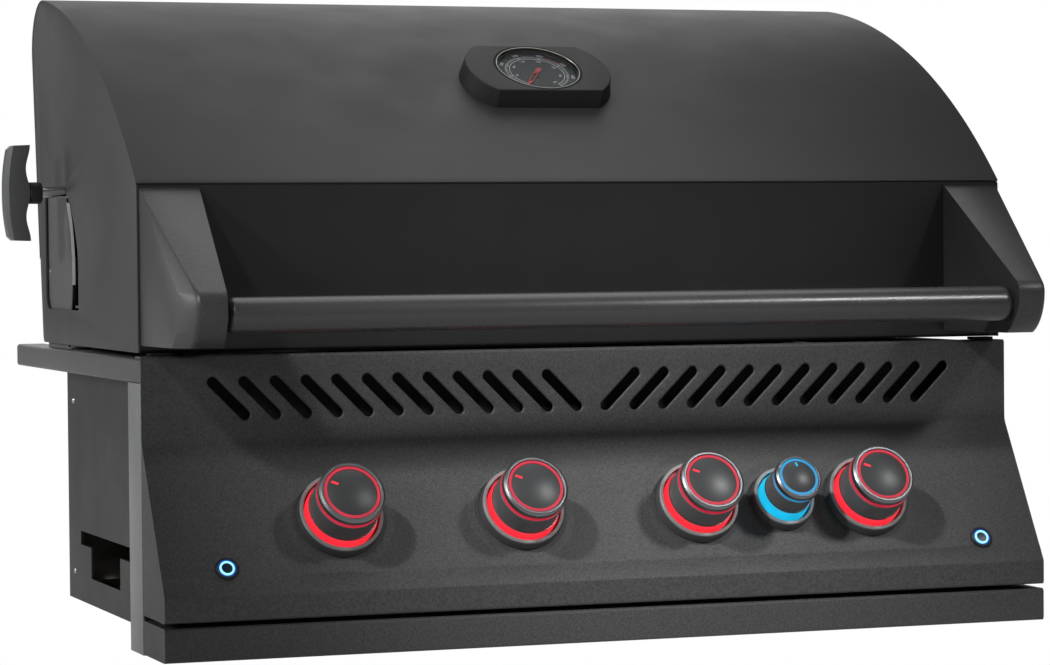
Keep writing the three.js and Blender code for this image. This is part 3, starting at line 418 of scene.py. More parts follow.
def output(tree, node, socket="BSDF"):
    add(tree, "ShaderNodeOutputMaterial", {"Surface": node.outputs[socket]})


def surface(tree, colour, roughness, height, strength, relief, **values):
    """The shader of an opaque finish, with a bump whose relief is in millimetres."""
    bump = add(tree, "ShaderNodeBump", {"Height": height, "Strength": strength, "Distance": relief * MM})
    output(tree, add(tree, "ShaderNodeBsdfPrincipled", {
        "Base Color": colour, "Roughness": roughness, "Normal": bump.outputs["Normal"], **values}))


def coated_metal(name, colour, roughness, grain, relief, mottle, speckle=0.0):
    """Painted or powder-coated metal: a mottled colour, uneven gloss and a grain of the given size."""
    material, tree, place = blank(name)
    cloud = noise(tree, place, 60, 3.0, 0.6)
    fine = noise(tree, place, grain)
    base = blend(tree, cloud, tinted(colour, 1 - mottle), tinted(colour, 1 + mottle))
    spots = ranged(tree, fine, 1 - speckle, 1 + speckle, 0.35, 0.65)
    shade = add(tree, "ShaderNodeVectorMath", {0: base, "Scale": spots}, operation="SCALE")
    gloss = ranged(tree, cloud, roughness - 0.04, roughness + 0.04, 0.3, 0.7)
    surface(tree, shade.outputs["Vector"], gloss, fine, 0.5, relief, IOR=1.5)
    return material


def brushed_metal(name, colour, roughness, line, along="X"):
    """Bare metal with brush lines of a given spacing that run along one axis."""
    material, tree, place = blank(name)
    stretch = [1.0, 1.0, 1.0]
    stretch["XYZ".index(along)] = 0.02
    lines = add(tree, "ShaderNodeMapping", {"Vector": place, "Scale": tuple(stretch)})
    brush = noise(tree, lines.outputs["Vector"], line, 3.0, 0.6)
    base = blend(tree, brush, tinted(colour, 0.86), tinted(colour, 1.1))
    gloss = ranged(tree, noise(tree, place, 50), roughness - 0.06, roughness + 0.08, 0.3, 0.7)
    surface(tree, base, gloss, brush, 0.25, 0.03, Metallic=1.0)
    return material


def moulded_plastic(name, colour, roughness, grain=0.25):
    """Injection-moulded plastic with a fine spark-eroded grain."""
    material, tree, place = blank(name)
    fine = noise(tree, place, grain)
    base = blend(tree, noise(tree, place, 15), tinted(colour, 0.95), tinted(colour, 1.05))
    gloss = ranged(tree, fine, roughness - 0.04, roughness + 0.04)
    surface(tree, base, gloss, fine, 0.3, 0.02, IOR=1.49)
    return material


def lit_diffuser(name, colour, strength):
    """A translucent light guide, a little brighter where its lamps sit behind it."""
    material, tree, place = blank(name)
    power = ranged(tree, noise(tree, place, 22, 1.0), strength * 0.85, strength * 1.15, 0.3, 0.7)
    output(tree, add(tree, "ShaderNodeBsdfPrincipled", {
        "Base Color": tinted(colour, 0.25), "Roughness": 0.6,
        "Emission Color": tinted(colour, 1), "Emission Strength": power}))
    return material


def window_glass(name):
    """Clear flat glass: what lies behind shows, and the face mirrors at a glancing angle."""
    material, tree, place = blank(name)
    gloss = ranged(tree, noise(tree, place, 12), 0.02, 0.07)
    clear = add(tree, "ShaderNodeBsdfTransparent", {"Color": (0.96, 0.98, 0.98, 1.0)})
    mirror = add(tree, "ShaderNodeBsdfGlossy", {"Roughness": gloss})
    facing = add(tree, "ShaderNodeLayerWeight", {"Blend": 0.5}).outputs["Facing"]
    steep = add(tree, "ShaderNodeMath", {0: facing, 1: 4.0}, operation="POWER").outputs["Value"]
    share = ranged(tree, steep, 0.002, 0.05)
    both = add(tree, "ShaderNodeMixShader", {0: share, 1: clear.outputs["BSDF"], 2: mirror.outputs["BSDF"]})
    output(tree, both, "Shader")
    return material


def perforated_tile(name, colour):
    """Fired ceramic burner tile with rows of small holes, painted dark as the shade inside them."""
    material, tree, place = blank(name)
    cells = add(tree, "ShaderNodeTexVoronoi", {"Vector": place, "Scale": 1 / (3.2 * MM), "Randomness": 0.0})
    holes = ranged(tree, cells.outputs["Distance"], 0.0, 1.0, 0.18, 0.3)
    # Painted shade: the tile's colour drops to 12 per cent in the holes
    base = blend(tree, holes, tinted(colour, 0.12), tinted(colour, 1.0))
    surface(tree, base, 0.85, holes, 0.8, 0.5)
    return material


FINISHES = {}


def make_finishes(colours):
    """The finishes of the whole grill, each named for what the real one is, with grains in millimetres."""
    FINISHES.update({
        # Stove enamel sprayed on steel: satin, with a faint orange peel
        "enamel": coated_metal("stove_enamel_satin", colours.enamel, 0.55, 2.5, 0.02, 0.04),
        "inset": coated_metal("stove_enamel_dark", colours.inset, 0.5, 2.5, 0.02, 0.05),
        "trim": coated_metal("stove_enamel_trim", colours.trim, 0.5, 2, 0.02, 0.04),
        "wall": coated_metal("stove_enamel_wall", "#202121", 0.5, 2, 0.02, 0.04),
        # Fine-texture powder coat: dull, with grains that show as light specks
        "powder": coated_metal("powder_coat_fine_texture", colours.powder, 0.56, 1.8, 0.25, 0.05, 0.3),
        # Powder-coated steel tube: the smoothest of the coats, so it shows two soft bands of light
        "tube": coated_metal("powder_coated_tube", colours.casting, 0.28, 1, 0.03, 0.05, 0.08),
        # Powder-coated die casting: smoother than the sheet, with a soft sheen
        "casting": coated_metal("powder_coated_die_casting", colours.casting, 0.42, 1.5, 0.12, 0.05, 0.22),
        # Galvanised sheet: a paler grey than the enamel, and palest where it is cut, where it is painted near
        # white as a highlight
        "bare_edge_highlight": coated_metal("galvanised_edge_with_painted_highlight", "#e0e1e1", 0.4, 1, 0.01, 0.05),
        "post": coated_metal("galvanised_sheet_lacquered", "#868787", 0.4, 3, 0.02, 0.08, 0.06),
        # Near-black matt paint on the firebox front behind the slots: painted shade, so the slots stay dark
        "slot_shade": coated_metal("firebox_front_painted_shade", "#0b0b0b", 0.8, 1, 0.05, 0.1),
        # Matte enamel on cast iron: coarse, dull and almost black
        "iron": coated_metal("enamelled_cast_iron", "#1c1c1d", 0.6, 1.4, 0.3, 0.1, 0.1),
        # Painted die castings of the bezels: satin, the rim paler than the flank, whose darker colour is
        # painted shade
        "flare": coated_metal("die_cast_flank_with_painted_shade", "#454647", 0.42, 0.8, 0.01, 0.04),
        "bezel": coated_metal("die_cast_bezel_painted", "#858687", 0.38, 0.8, 0.01, 0.04),
        # Brushed stainless steel: fine lines along the sheet
        "stainless": brushed_metal("stainless_steel_brushed", "#b5b2ab", 0.34, 0.5),
        "stainless_deep": brushed_metal("stainless_steel_brushed_front_to_back", "#b5b2ab", 0.36, 0.5, "Y"),
        # Chromed steel rod: near mirror
        "chrome": brushed_metal("chromed_steel", "#d9d9d8", 0.12, 0.8),
        # Bare satin rims of the knobs: a thin bright line
        "rim": brushed_metal("die_cast_rim_satin", "#7e8082", 0.36, 0.4),
        # Brass of the valves, turned and left bare: a warm yellow
        "brass": brushed_metal("brass_turned", "#b8944e", 0.35, 0.4),
        # Black nylon and ABS mouldings: dull, with an even fine grain
        "plastic": moulded_plastic("abs_black_grained", "#1d1d1e", 0.5),
        "housing": moulded_plastic("nylon_black_satin", "#1d1d1d", 0.55),
        "grip": moulded_plastic("nylon_grip_satin", "#5a5b5b", 0.45),
        # Knob mouldings: grey soft-touch sides and a darker dome with a broad soft highlight
        "knob": moulded_plastic("abs_knob_soft_touch", colours.knob, 0.38, 0.2),
        "dome": moulded_plastic("abs_knob_dome_satin", "#3e3f40", 0.38, 0.2),
        # Smooth dark blue button faces, and dull soft rubber
        "button_face": moulded_plastic("polycarbonate_dark_blue", "#10263f", 0.3),
        "rubber": moulded_plastic("epdm_rubber", "#111112", 0.8, 0.6),
        # Black dial, and the white and red inks printed on it
        "dial": moulded_plastic("dial_face_black", "#1a1b1d", 0.55),
        "ink": moulded_plastic("dial_ink_white", "#f2f3f3", 0.6),
        "red_ink": moulded_plastic("dial_ink_red", "#d02c36", 0.5),
        # Light guides in the knobs and buttons: an even glow
        "red_light": lit_diffuser("light_guide_red", colours.knob_light, 1.0),
        "red_light_dim": lit_diffuser("light_guide_red_thin", "#d92f47", 0.68),
        "blue_light": lit_diffuser("light_guide_blue", colours.side_light, 1.0),
        "blue_light_dim": lit_diffuser("light_guide_blue_thin", "#2f9bd2", 0.7),
        "button_light": lit_diffuser("light_guide_button", colours.button_light, 1.3),
        "button_glow": lit_diffuser("light_guide_button_rim", "#0f4fb4", 0.8),
        # Thermometer glass: clear from the front
        "glass": window_glass("soda_glass_flat"),
        # Ceramic of the rear burner: pale and matt, dotted with holes painted dark as their shade
        "tile": perforated_tile("fired_ceramic_tile", "#b9ab9e"),
    })


def finish_nodes(finish, *names):
    """Gives CAD nodes that keep their own shape one of the finishes."""
    for name in names:
        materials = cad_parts[name].data.materials
        materials.clear()
        materials.append(FINISHES[finish])


# Lid


def lid_line(inset, rear):
    """The lid's side outline from the front crease to a height on the rear wall, as (y, z) points."""
    line = arc((ARC_CENTRE.y, ARC_CENTRE.z), ARC_RADIUS - inset, ARC_START, ARC_END, 72)
    corner = (CORNER_CENTRE.y, CORNER_CENTRE.z)
    line += arc(corner, CORNER_RADIUS - inset, ARC_END, -REAR_LEAN, 24)[1:]
    last = line[-1]
    line.append((last[0] - (last[1] - rear) * tan(REAR_LEAN), rear))
    return line


class GRILL_OT_lid_shell(bpy.types.Operator):
    """Builds the curved lid skin, its two end plates and its recessed front"""

    bl_idname = "grill.lid_shell"
    bl_label = "Lid shell"

    def execute(self, context):
        sizes = context.scene.grill_sizes
        half, sheet = sizes.width / 2, sizes.sheet
        skin = sheet_from(on_yz(lid_line(0, SKIN_REAR), -half), (sizes.width, 0, 0), sheet)
        softened(skin, sizes.edge_radius, 2, 60)
        piece("lid_skin", skin, "enamel", "lid", ["hood_skin"])

        front = LID_FRONT + 2 * MM
        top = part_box("hood_front_panel")[1].z
        line = filleted([(front + 18 * MM, LID_BOTTOM), (front, LID_BOTTOM), (front, top)], [3 * MM])
        reach = half - sheet - SEAT - 0.02 * MM
        panel = sheet_from(on_yz(line, -reach), (reach * 2, 0, 0), sheet)
        piece("lid_front", panel, "inset", "lid", ["hood_front_panel"])

        heel = 6 * MM
        line = lid_line(sheet + SEAT / 4, LID_BOTTOM + heel)
        foot = line[-1][0] - heel * tan(REAR_LEAN) / 2
        outline = [(LID_FRONT, LID_BOTTOM), (LID_FRONT, CREASE - 3.2 * MM)] + line[1:]
        outline += arc((foot - heel, LID_BOTTOM + heel), heel, 0, -RIGHT_ANGLE, 6)
        plate = solid_from(on_yz(outline, half - SEAT - sheet), (sheet, 0, 0))
        plate = carved(plate, solid_from(on_yz(self.window(), half - 20 * MM), (40 * MM, 0, 0)))
        softened(plate, sizes.edge_radius, 2, 60)
        pair("lid_end", plate, "enamel", "lid", "hood_end")
        return {"FINISHED"}

    def window(self):
        """The pie-shaped opening that lets the lid swing past the spit, as (y, z) points."""
        front, rear, low = PIVOT.y - 141 * MM, PIVOT.y, 58 * MM
        rod, corner = 6.5 * MM, 14 * MM
        top = SPIT.z + rod
        points = [(front, low), *arc((rear - corner, low + corner), corner, -RIGHT_ANGLE, 0, 8)]
        points += [(rear, top), (SPIT.y, top)]
        points += arc((SPIT.y, SPIT.z), rod, RIGHT_ANGLE, pi * 1.1, 8)
        knee = Vector((front, 99 * MM))
        bend = Vector((front, 127 * MM))
        shoulder = Vector((SPIT.y - 14.3 * MM, 161 * MM))
        for step in range(9):
            share = step / 8
            point = shoulder * (1 - share) ** 2 + bend * 2 * share * (1 - share) + knee * share ** 2
            points.append(tuple(point))
        return points


class GRILL_OT_lid_handle(bpy.types.Operator):
    """Builds the handle bar and its two cast wedge brackets"""

    bl_idname = "grill.lid_handle"
    bl_label = "Lid handle"

    bar_y = -148 * MM
    bar_z = 58.4 * MM
    neck = 10 * MM

    def execute(self, context):
        place = Matrix.Translation((0, self.bar_y, self.bar_z)) @ SIDEWAYS
        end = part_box("handle_bar")[1].x
        bar = placed(self.bar(end / MM, context.scene.grill_sizes.bar_radius / MM, self.neck / MM), place)
        piece("handle_tube", bar, "tube", "lid", ["handle_bar"])
        pair("bracket", self.bracket(end), "casting", "lid", "handle_bracket")
        return {"FINISHED"}

    def bar(self, end, radius, neck):
        """A round bar with long rounded ends, which plug into the brackets with a thinner neck."""
        half = [(0, end), (neck, end)]
        for step in range(13):
            angle = RIGHT_ANGLE * step / 12
            half.append((neck + (radius - neck) * sin(angle), BRACKET_INNER / MM + 7 * cos(angle)))
        return turned([(across, -along) for across, along in half] + half[::-1])

    def bracket(self, bar_end):
        """A wedge with drafted sides, a rounded nose and a chamfer that widens down its outer corner."""
        low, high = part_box("handle_bracket_right")
        rear, nose, nose_z = LID_FRONT + 2 * MM - SEAT, low.y, 68 * MM
        inner, outer = BRACKET_INNER, high.x
        ridge = outer - 18 * MM
        small, large = 14 * MM, 40 * MM
        line = arc((nose + small, nose_z), small, RIGHT_ANGLE + radians(35), pi, 10)
        under = asin((nose_z - low.z) / large)
        line += arc((nose + large, nose_z), large, pi, pi + under, 12)[1:]
        bm = bmesh.new()
        for x in (inner, outer):
            for z in (low.z, high.z):
                bm.verts.new((x, rear, z))
        for y, z in line:
            share = (rear - y) / (rear - nose)
            back = y + 22 * MM
            bm.verts.new((inner + 10 * MM * share, y, z))
            bm.verts.new((ridge, y, z))
            bm.verts.new((outer - 9 * MM * (rear - back) / (rear - nose), back, z))
        bmesh.ops.convex_hull(bm, input=bm.verts[:])
        bmesh.ops.dissolve_limit(bm, angle_limit=radians(1), verts=bm.verts[:], edges=bm.edges[:])
        bmesh.ops.recalc_face_normals(bm, faces=bm.faces)
        softened(bm, 3 * MM, 6, 17, lambda edge: all(abs(v.co.x - ridge) < 1 * MM for v in edge.verts))
        softened(bm, 0.8 * MM, 3, 28)
        socket = rod_between((inner - 10 * MM, self.bar_y, self.bar_z),
                             (bar_end + SEAT, self.bar_y, self.bar_z), self.neck + SEAT, 48)
        return carved(bm, socket, weld=False)


# Thermometer


class GRILL_OT_thermometer(bpy.types.Operator):
    """Builds the thermometer: housing, cup with its probe, dial, needle and glass"""

    bl_idname = "grill.thermometer"
    bl_label = "Thermometer"

    cold, hot = radians(237), radians(-57)

    def execute(self, context):
        sizes = context.scene.grill_sizes
        pane = GAUGE_HEIGHT / MM - 2.4
        dial = pane - 2.8
        seat = SEAT / MM
        rim = (sizes.dial_radius + sizes.sheet) / MM - seat
        face = rim - 2
        self.housing(pane)
        turned_pieces(
            GAUGE_FRAME, "lid", "stainless",
            ("gauge_cup", "stainless", [
                (0, -60), (2.2, -60), (3.5, -57), (3.5, 1.5), (rim, 1.5), (rim, pane - seat),
                (rim - 1.2, pane - seat), (face, dial), (0, dial)], (), "thermometer_body"))
        turned_pieces(
            GAUGE_FRAME, "lid", "black_plastic",
            ("gauge_dial", "dial", [
                (0, dial + 0.05), (face, dial + 0.05), (face, dial + 0.25), (0, dial + 0.25)]),
            ("gauge_liner", "plastic", [
                (face, dial + 0.26), (rim - 1.25, pane - 0.1), (rim - 1.45, pane - 0.1),
                (rim - 2.2, dial + 0.26)]))
        self.print_dial((dial + 0.27) * MM)
        turned_pieces(
            GAUGE_FRAME, "lid", "clear_glass",
            ("gauge_glass", "glass", [(0, pane + seat), (41, pane + seat), (41, pane + 2.1), (0, pane + 2.1)],
             [0.3, 0.3], "thermometer_glass"))
        low = pane + 2.15
        turned_pieces(
            GAUGE_FRAME, "lid", "black_plastic",
            ("gauge_seal", "rubber", [(39, low), (41.2, low), (41.2, low + 0.15), (39, low + 0.15)]))
        turned_pieces(
            GAUGE_FRAME, "lid", "stainless",
            ("gauge_rim", "stainless", [(38.2, low), (38.9, low), (38.8, low + 0.55), (38.4, low + 0.55)]))
        self.needle(dial + 0.7)
        return {"FINISHED"}

    def housing(self, pane):
        """Flat above and below, bulging at the sides, and drafted towards its face."""
        half, corner, steps = 42.4 * MM, 49.5 * MM, 28

        def side(y, reach):
            bulge = reach - corner
            radius = (bulge ** 2 + half ** 2) / (bulge * 2)
            return reach - radius + sqrt(radius ** 2 - y ** 2)

        rows = [half * (step * 2 / steps - 1) for step in range(steps + 1)]
        foot = [(side(y, 72.5 * MM), y) for y in rows] + [(-side(y, 72.5 * MM), y) for y in reversed(rows)]
        bm = solid_from(on_xy(foot, -6 * MM), (0, 0, GAUGE_HEIGHT + 6 * MM))
        for vert in bm.verts:
            if vert.co.z > 0:
                vert.co.x = copysign(side(min(half, abs(vert.co.y)), 68 * MM), vert.co.x)
        softened(bm, 1.2 * MM, 4, 28, lambda edge: all(v.co.z > -5 * MM for v in edge.verts))
        hole = turned([(0, -20), (39, -20), (39, pane), (41.3, pane), (41.3, 30), (0, 30)])
        bm = placed(carved(bm, hole, weld=False), GAUGE_FRAME)
        outline = [(LID_FRONT, SKIN_REAR)] + lid_line(-SEAT, SKIN_REAR)
        bm = carved(bm, solid_from(on_yz(outline, -200 * MM), (400 * MM, 0, 0)))
        piece("gauge_housing", bm, "housing", "lid", ["thermometer_bezel"])

    def print_dial(self, height):
        """Two scales of ticks with plain numbers, and a red arc for the hot range."""
        inks = {"ink": [], "red_ink": []}

        def mark(ink, angle, start, end, width):
            bar = block((start, -width / 2, height), (end, width / 2, height + 0.06 * MM))
            inks[ink].append(placed(bar, Matrix.Rotation(angle, 4, "Z")))

        sweep = self.hot - self.cold
        for step in range(71):
            long = step % 10 == 0
            mark("ink", self.cold + sweep * step / 70, (26.5 if long else 27.5) * MM, 30 * MM,
                 (0.8 if long else 0.45) * MM)
        line, steps = 25.6 * MM, 72
        for step in range(steps):
            mark("ink", self.cold + sweep * (step + 0.5) / steps, line - 0.25 * MM, line + 0.25 * MM,
                 line * abs(sweep) / steps * 1.05)
        for step in range(10):
            mark("red_ink", radians(60 - step * 4), 31.2 * MM, 31.8 * MM, 2.3 * MM)
        for ink, marks in inks.items():
            piece(f"gauge_print_{ink}", placed(merged(*marks), GAUGE_FRAME), ink, "lid")
        for number in range(8):
            angle = self.cold + sweep * number / 7
            self.number(f"gauge_number_{number}", number * 100, angle, 33.2 * MM, 4.6 * MM, height)
            self.number(f"gauge_inner_number_{number}", number * 50, angle, 21.5 * MM, 3.2 * MM, height)

    def number(self, name, value, angle, radius, size, height):
        """A printed number that stands upright when seen from the dial's centre."""
        curve = bpy.data.curves.new(name, "FONT")
        curve.body = str(value)
        curve.size = size
        curve.align_x = curve.align_y = "CENTER"
        curve.extrude = 0.03 * MM
        holder = bpy.data.objects.new(name, curve)
        bpy.context.scene.collection.objects.link(holder)
        bpy.context.view_layer.update()
        mesh = bpy.data.meshes.new_from_object(holder.evaluated_get(bpy.context.evaluated_depsgraph_get()))
        bpy.data.objects.remove(holder)
        bpy.data.curves.remove(curve)
        bm = bmesh.new()
        bm.from_mesh(mesh)
        bpy.data.meshes.remove(mesh)
        place = Vector((radius * cos(angle), radius * sin(angle), height + 0.03 * MM))
        turn = Matrix.Rotation(angle - RIGHT_ANGLE, 4, "Z")
        piece(name, placed(bm, GAUGE_FRAME @ Matrix.Translation(place) @ turn), "ink", "lid")

    def needle(self, height):
        """A wide red pointer with a window, at rest near the cold end of the scale."""
        half, tail, shoulder, tip = 2.4 * MM, -6.75 * MM, 18.75 * MM, 31 * MM
        outline = [(half, tail), (half, shoulder), (0.5 * MM, tip), (-0.5 * MM, tip), (-half, shoulder)]
        outline += arc((0, tail), half, pi, tau, 10)[:-1]
        bm = solid_from(on_xy(outline, height * MM), (0, 0, 0.5 * MM))
        slot = arc((0, 20 * MM), 1.5 * MM, 0, pi, 8) + arc((0, 5 * MM), 1.5 * MM, pi, tau, 8)
        bm = carved(bm, solid_from(on_xy(slot, (height - 2) * MM), (0, 0, 5 * MM)), weld=False)
        low, high = height - 0.3, height + 1
        bm = merged(bm, turned([(0, low), (2.4, low), (2.4, high), (0, high)], [0, 0.5], steps=32))
        placed(bm, GAUGE_FRAME @ Matrix.Rotation(radians(147), 4, "Z"))
        piece("gauge_needle", bm, "red_ink", "needle", ["thermometer_needle"])


# Control panel


class GRILL_OT_control_panel(bpy.types.Operator):
    """Builds the folded control panel with its slanted vent slots"""

    bl_idname = "grill.control_panel"
    bl_label = "Control panel"

    def execute(self, context):
        sizes = context.scene.grill_sizes
        half, fold = sizes.width / 2, sizes.fold_radius
        line = [(PANEL_FRONT + 20 * MM, PANEL_TOP), (PANEL_FRONT, PANEL_TOP), (PANEL_FRONT, PANEL_CREASE),
                *self.seam(), (PANEL_LIP, PANEL_LIP_TOP), (PANEL_LIP, PANEL_BOTTOM),
                (PANEL_LIP + 14 * MM, PANEL_BOTTOM)]
        line = filleted(line, [2.5 * MM, fold * 4, 0, 0, fold, 3 * MM])
        panel = sheet_from(on_yz(line, -half), (sizes.width, 0, 0), -sizes.sheet)
        panel = carved(panel, self.cutters(sizes))

        def on_slot_edge(edge):
            return all(abs(v.co.y - PANEL_FRONT) < 0.02 * MM and abs(v.co.z - SLOT_Z) < 22 * MM
                       and abs(v.co.x) < half - 10 * MM for v in edge.verts)

        softened(panel, 1.8 * MM, 5, 50, on_slot_edge)
        front, lip, bottom = (edge + 0.4 * MM for edge in (PANEL_FRONT, PANEL_LIP, PANEL_BOTTOM))
        end = filleted([(front, PANEL_CREASE + 1 * MM), (front, PANEL_CREASE), (lip, PANEL_LIP_TOP),
                        (lip, bottom), (front, bottom)], [0, fold, 2 * MM])
        cheek = solid_from(on_yz(end, half - sizes.sheet - 0.1 * MM), (sizes.sheet, 0, 0))
        whole = merged(panel, cheek, mirrored(cheek), self.pads(sizes))
        piece("fascia", whole, "powder", "base", ["control_panel"], 40)
        return {"FINISHED"}

    def seam(self):
        """A faint step across the slope, where the stiffening bend of the lip begins."""
        down = Vector((PANEL_LIP - PANEL_FRONT, PANEL_LIP_TOP - PANEL_CREASE)).normalized()
        start = Vector((PANEL_FRONT, PANEL_CREASE)) + down * 129 * MM
        return [tuple(start), tuple(start + down * 0.5 * MM + Vector((down.y, -down.x)) * 0.3 * MM)]

    def cutters(self, sizes):
        """The spaces of the slots and of the holes for the buttons and the valve stems."""
        radius = sizes.slot_width / 2
        reach = sizes.slot_length / 2 - radius
        outline = arc((reach, 0), radius, -RIGHT_ANGLE, RIGHT_ANGLE, 10)
        outline += arc((-reach, 0), radius, RIGHT_ANGLE, pi * 1.5, 10)
        tools = []
        for index in range(1, sizes.slot_count + 1):
            for side in (-1, 1):
                place = Matrix.Translation((side * index * sizes.slot_pitch, PANEL_FRONT - 8 * MM, SLOT_Z))
                turn = Matrix.Rotation(-side * pi / 4, 4, "Y")
                tools.append(placed(solid_from(on_xz(outline, 0), (0, 20 * MM, 0)), place @ turn))
        holes = [(on_slope(side * BUTTON_X, BUTTON_DROP), 6.9 * MM) for side in (-1, 1)]
        holes += [(seat, 8 * MM) for seat, _ in KNOB_SEATS]
        for seat, radius in holes:
            tools.append(placed(rod_between((0, 0, -8 * MM), (0, 0, 8 * MM), radius, 48), seat))
        return merged(*tools)

    def pads(self, sizes):
        """Low round swellings that the sheet is pressed into around the knobs."""
        pads = []
        for seat, small in KNOB_SEATS:
            foot = (sizes.small_bezel_radius if small else sizes.bezel_radius) / MM + 1.5
            swelling = [(foot, 0.02), (foot, 0.4), (foot + 4, 0.7), (foot + 11, 0.02)]
            pads.append(placed(turned(swelling, [0, 1.5]), seat))
        return merged(*pads)


class GRILL_OT_burner_knobs(bpy.types.Operator):
    """Builds the five knobs with their bezels and lit rings"""

    bl_idname = "grill.burner_knobs"
    bl_label = "Burner knobs"

    def execute(self, context):
        sizes = context.scene.grill_sizes
        for index, (seat, small) in enumerate(KNOB_SEATS, 1):
            bezel = (sizes.small_bezel_radius if small else sizes.bezel_radius) / MM
            cap = (sizes.small_cap_radius if small else sizes.cap_radius) / MM
            light = "blue_light" if small else "red_light"
            self.bezel(index, seat, bezel, light, 19.4 if small else 16.5)
            self.knob(index, seat, bezel, cap, light, 0 if small else 58)
        finish_nodes("brass", *[f"valve_stem_{index}" for index in range(1, 6)])
        return {"FINISHED"}

    def bezel(self, index, seat, radius, light, top):
        """A flared foot, a satin rim, and the light guide that stands around the knob inside it."""
        skirt, inner, foot, low = radius - 6.6, radius - 3, radius + 1.2, SEAT / MM
        edge = top + 0.1
        turned_pieces(
            seat, "base", "bezel_metal",
            # The flank's darker finish is painted shade around the foot of the bezel
            (f"knob_flare_{index}", "flare", [
                (skirt + 1, low), (foot, low), (foot, 1), (radius + 0.4, 9), (inner - 0.1, 9),
                (inner - 0.1, 4.5), (skirt + 1, 4.5)], [0.3, 0.4, 0.5]),
            (f"knob_ring_{index}", "bezel", [
                (inner, 9.1), (radius + 0.1, 9.1), (radius, 10.4), (radius - 0.8, 11), (inner, 11)],
             [0.2, 0.6, 0.4, 0.4], f"knob_bezel_{index}"),
            (f"knob_ring_light_{index}", light, [
                (skirt + 0.2, 4.6), (skirt + 1.9, 4.6), (skirt + 1.9, 9), (skirt + 0.7, top),
                (skirt + 0.2, top)], [0, 1, 0.2]),
            (f"knob_ring_edge_{index}", "rim", [
                (skirt + 0.2, edge), (skirt + 0.75, edge), (skirt + 0.6, edge + 0.6),
                (skirt + 0.2, edge + 0.7)]))

    def knob(self, index, seat, bezel, cap, light, turn):
        """A skirt, a neck and a cap whose rim stands around a lit ring and a dome."""
        skirt = bezel - 6.6
        top = skirt - 0.4
        neck, ring = cap - 4, cap * 0.845
        dome, rise = ring - 2.5, 3.4
        sphere = (dome ** 2 + rise ** 2) / (2 * rise)
        sweep = asin(dome / sphere)
        crown = [(sphere * sin(sweep * step / 16), 50 - sphere * (1 - cos(sweep * step / 16)))
                 for step in range(17)]
        turned_pieces(
            seat, f"knob_{index}", "knob_plastic",
            (f"knob_skirt_{index}", "knob", [
                (3.4, 3.6), (skirt, 3.6), (top, 37.4), (top - 1.2, 37.4), (neck, 37.4), (neck, 40.4),
                (3.4, 40.4)], [0.6, 0.5]),
            (f"knob_skirt_light_{index}", f"{light}_dim", [
                (top - 2.8, 37.5), (top - 0.5, 37.5), (top - 0.8, 38.1), (top - 2.8, 38.2)]),
            (f"knob_rim_{index}", "rim", [
                (0, 40.5), (cap - 1.4, 40.5), (cap, 41.9), (cap, 46.4), (cap - 2, 48), (ring + 0.7, 48),
                (ring, 46.6), (0, 46.6)], [0.5, 0.5, 0.9, 0.9, 0.4], f"burner_knob_{index}"),
            (f"knob_cap_light_{index}", f"{light}_dim", [
                (dome, 46.65), (ring - 0.1, 46.65), (ring - 0.1, 47), (dome, 47.2)]),
            (f"knob_dome_{index}", "dome", crown + [(0, 46.6)]))
        self.pointer(index, seat, dome * MM, light, turn, sphere * MM)

    def pointer(self, index, seat, dome, light, turn, sphere):
        """A short printed bar near the dome's edge that shows the setting."""
        near, far, half = dome * 0.62, dome * 0.9, 1 * MM
        outline = [(-half, near, 0), (half, near, 0), (half, far, 0), (-half, far, 0)]
        bar = solid_from(outline, (0, 0, 0.2 * MM))
        bmesh.ops.subdivide_edges(bar, edges=bar.edges, cuts=4, use_grid_fill=True)
        for vert in bar.verts:
            away = hypot(vert.co.x, vert.co.y)
            vert.co.z += 49.9 * MM - sphere * (1 - cos(asin(away / sphere)))
        placed(bar, seat @ Matrix.Rotation(radians(turn), 4, "Z"))
        piece(f"knob_mark_{index}", bar, light, f"knob_{index}")


class GRILL_OT_push_buttons(bpy.types.Operator):
    """Builds the two lit push buttons in their collars"""

    bl_idname = "grill.push_buttons"
    bl_label = "Push buttons"

    def execute(self, context):
        for side, sign in (("left", -1), ("right", 1)):
            seat = on_slope(sign * BUTTON_X, BUTTON_DROP)
            turned_pieces(
                seat, "base", "texture_coat",
                (f"button_collar_{side}", "plastic", [
                    (8, 0.02), (10, 0.02), (9.8, 1.8), (8.6, 2.6), (8, 2.3)], [0, 0.4, 0.3]),
                (f"button_halo_{side}", "button_glow", [
                    (6.95, -1), (7.95, -1), (7.95, 1.6), (6.95, 1.9)]))
            turned_pieces(
                seat, f"button_{side}", "black_plastic",
                (f"button_{side}", "button_face", [
                    (0, -9), (6.5, -9), (6.5, 1.4), (4.7, 1.6), (0, 1.9)],
                 [0, 0.3, 0.2], f"push_button_{side}"),
                (f"button_ring_light_{side}", "button_light", [
                    (4.8, 1.5), (6.5, 1.3), (6.4, 2.3), (5.6, 2.7), (4.8, 2.3)]))
        return {"FINISHED"}


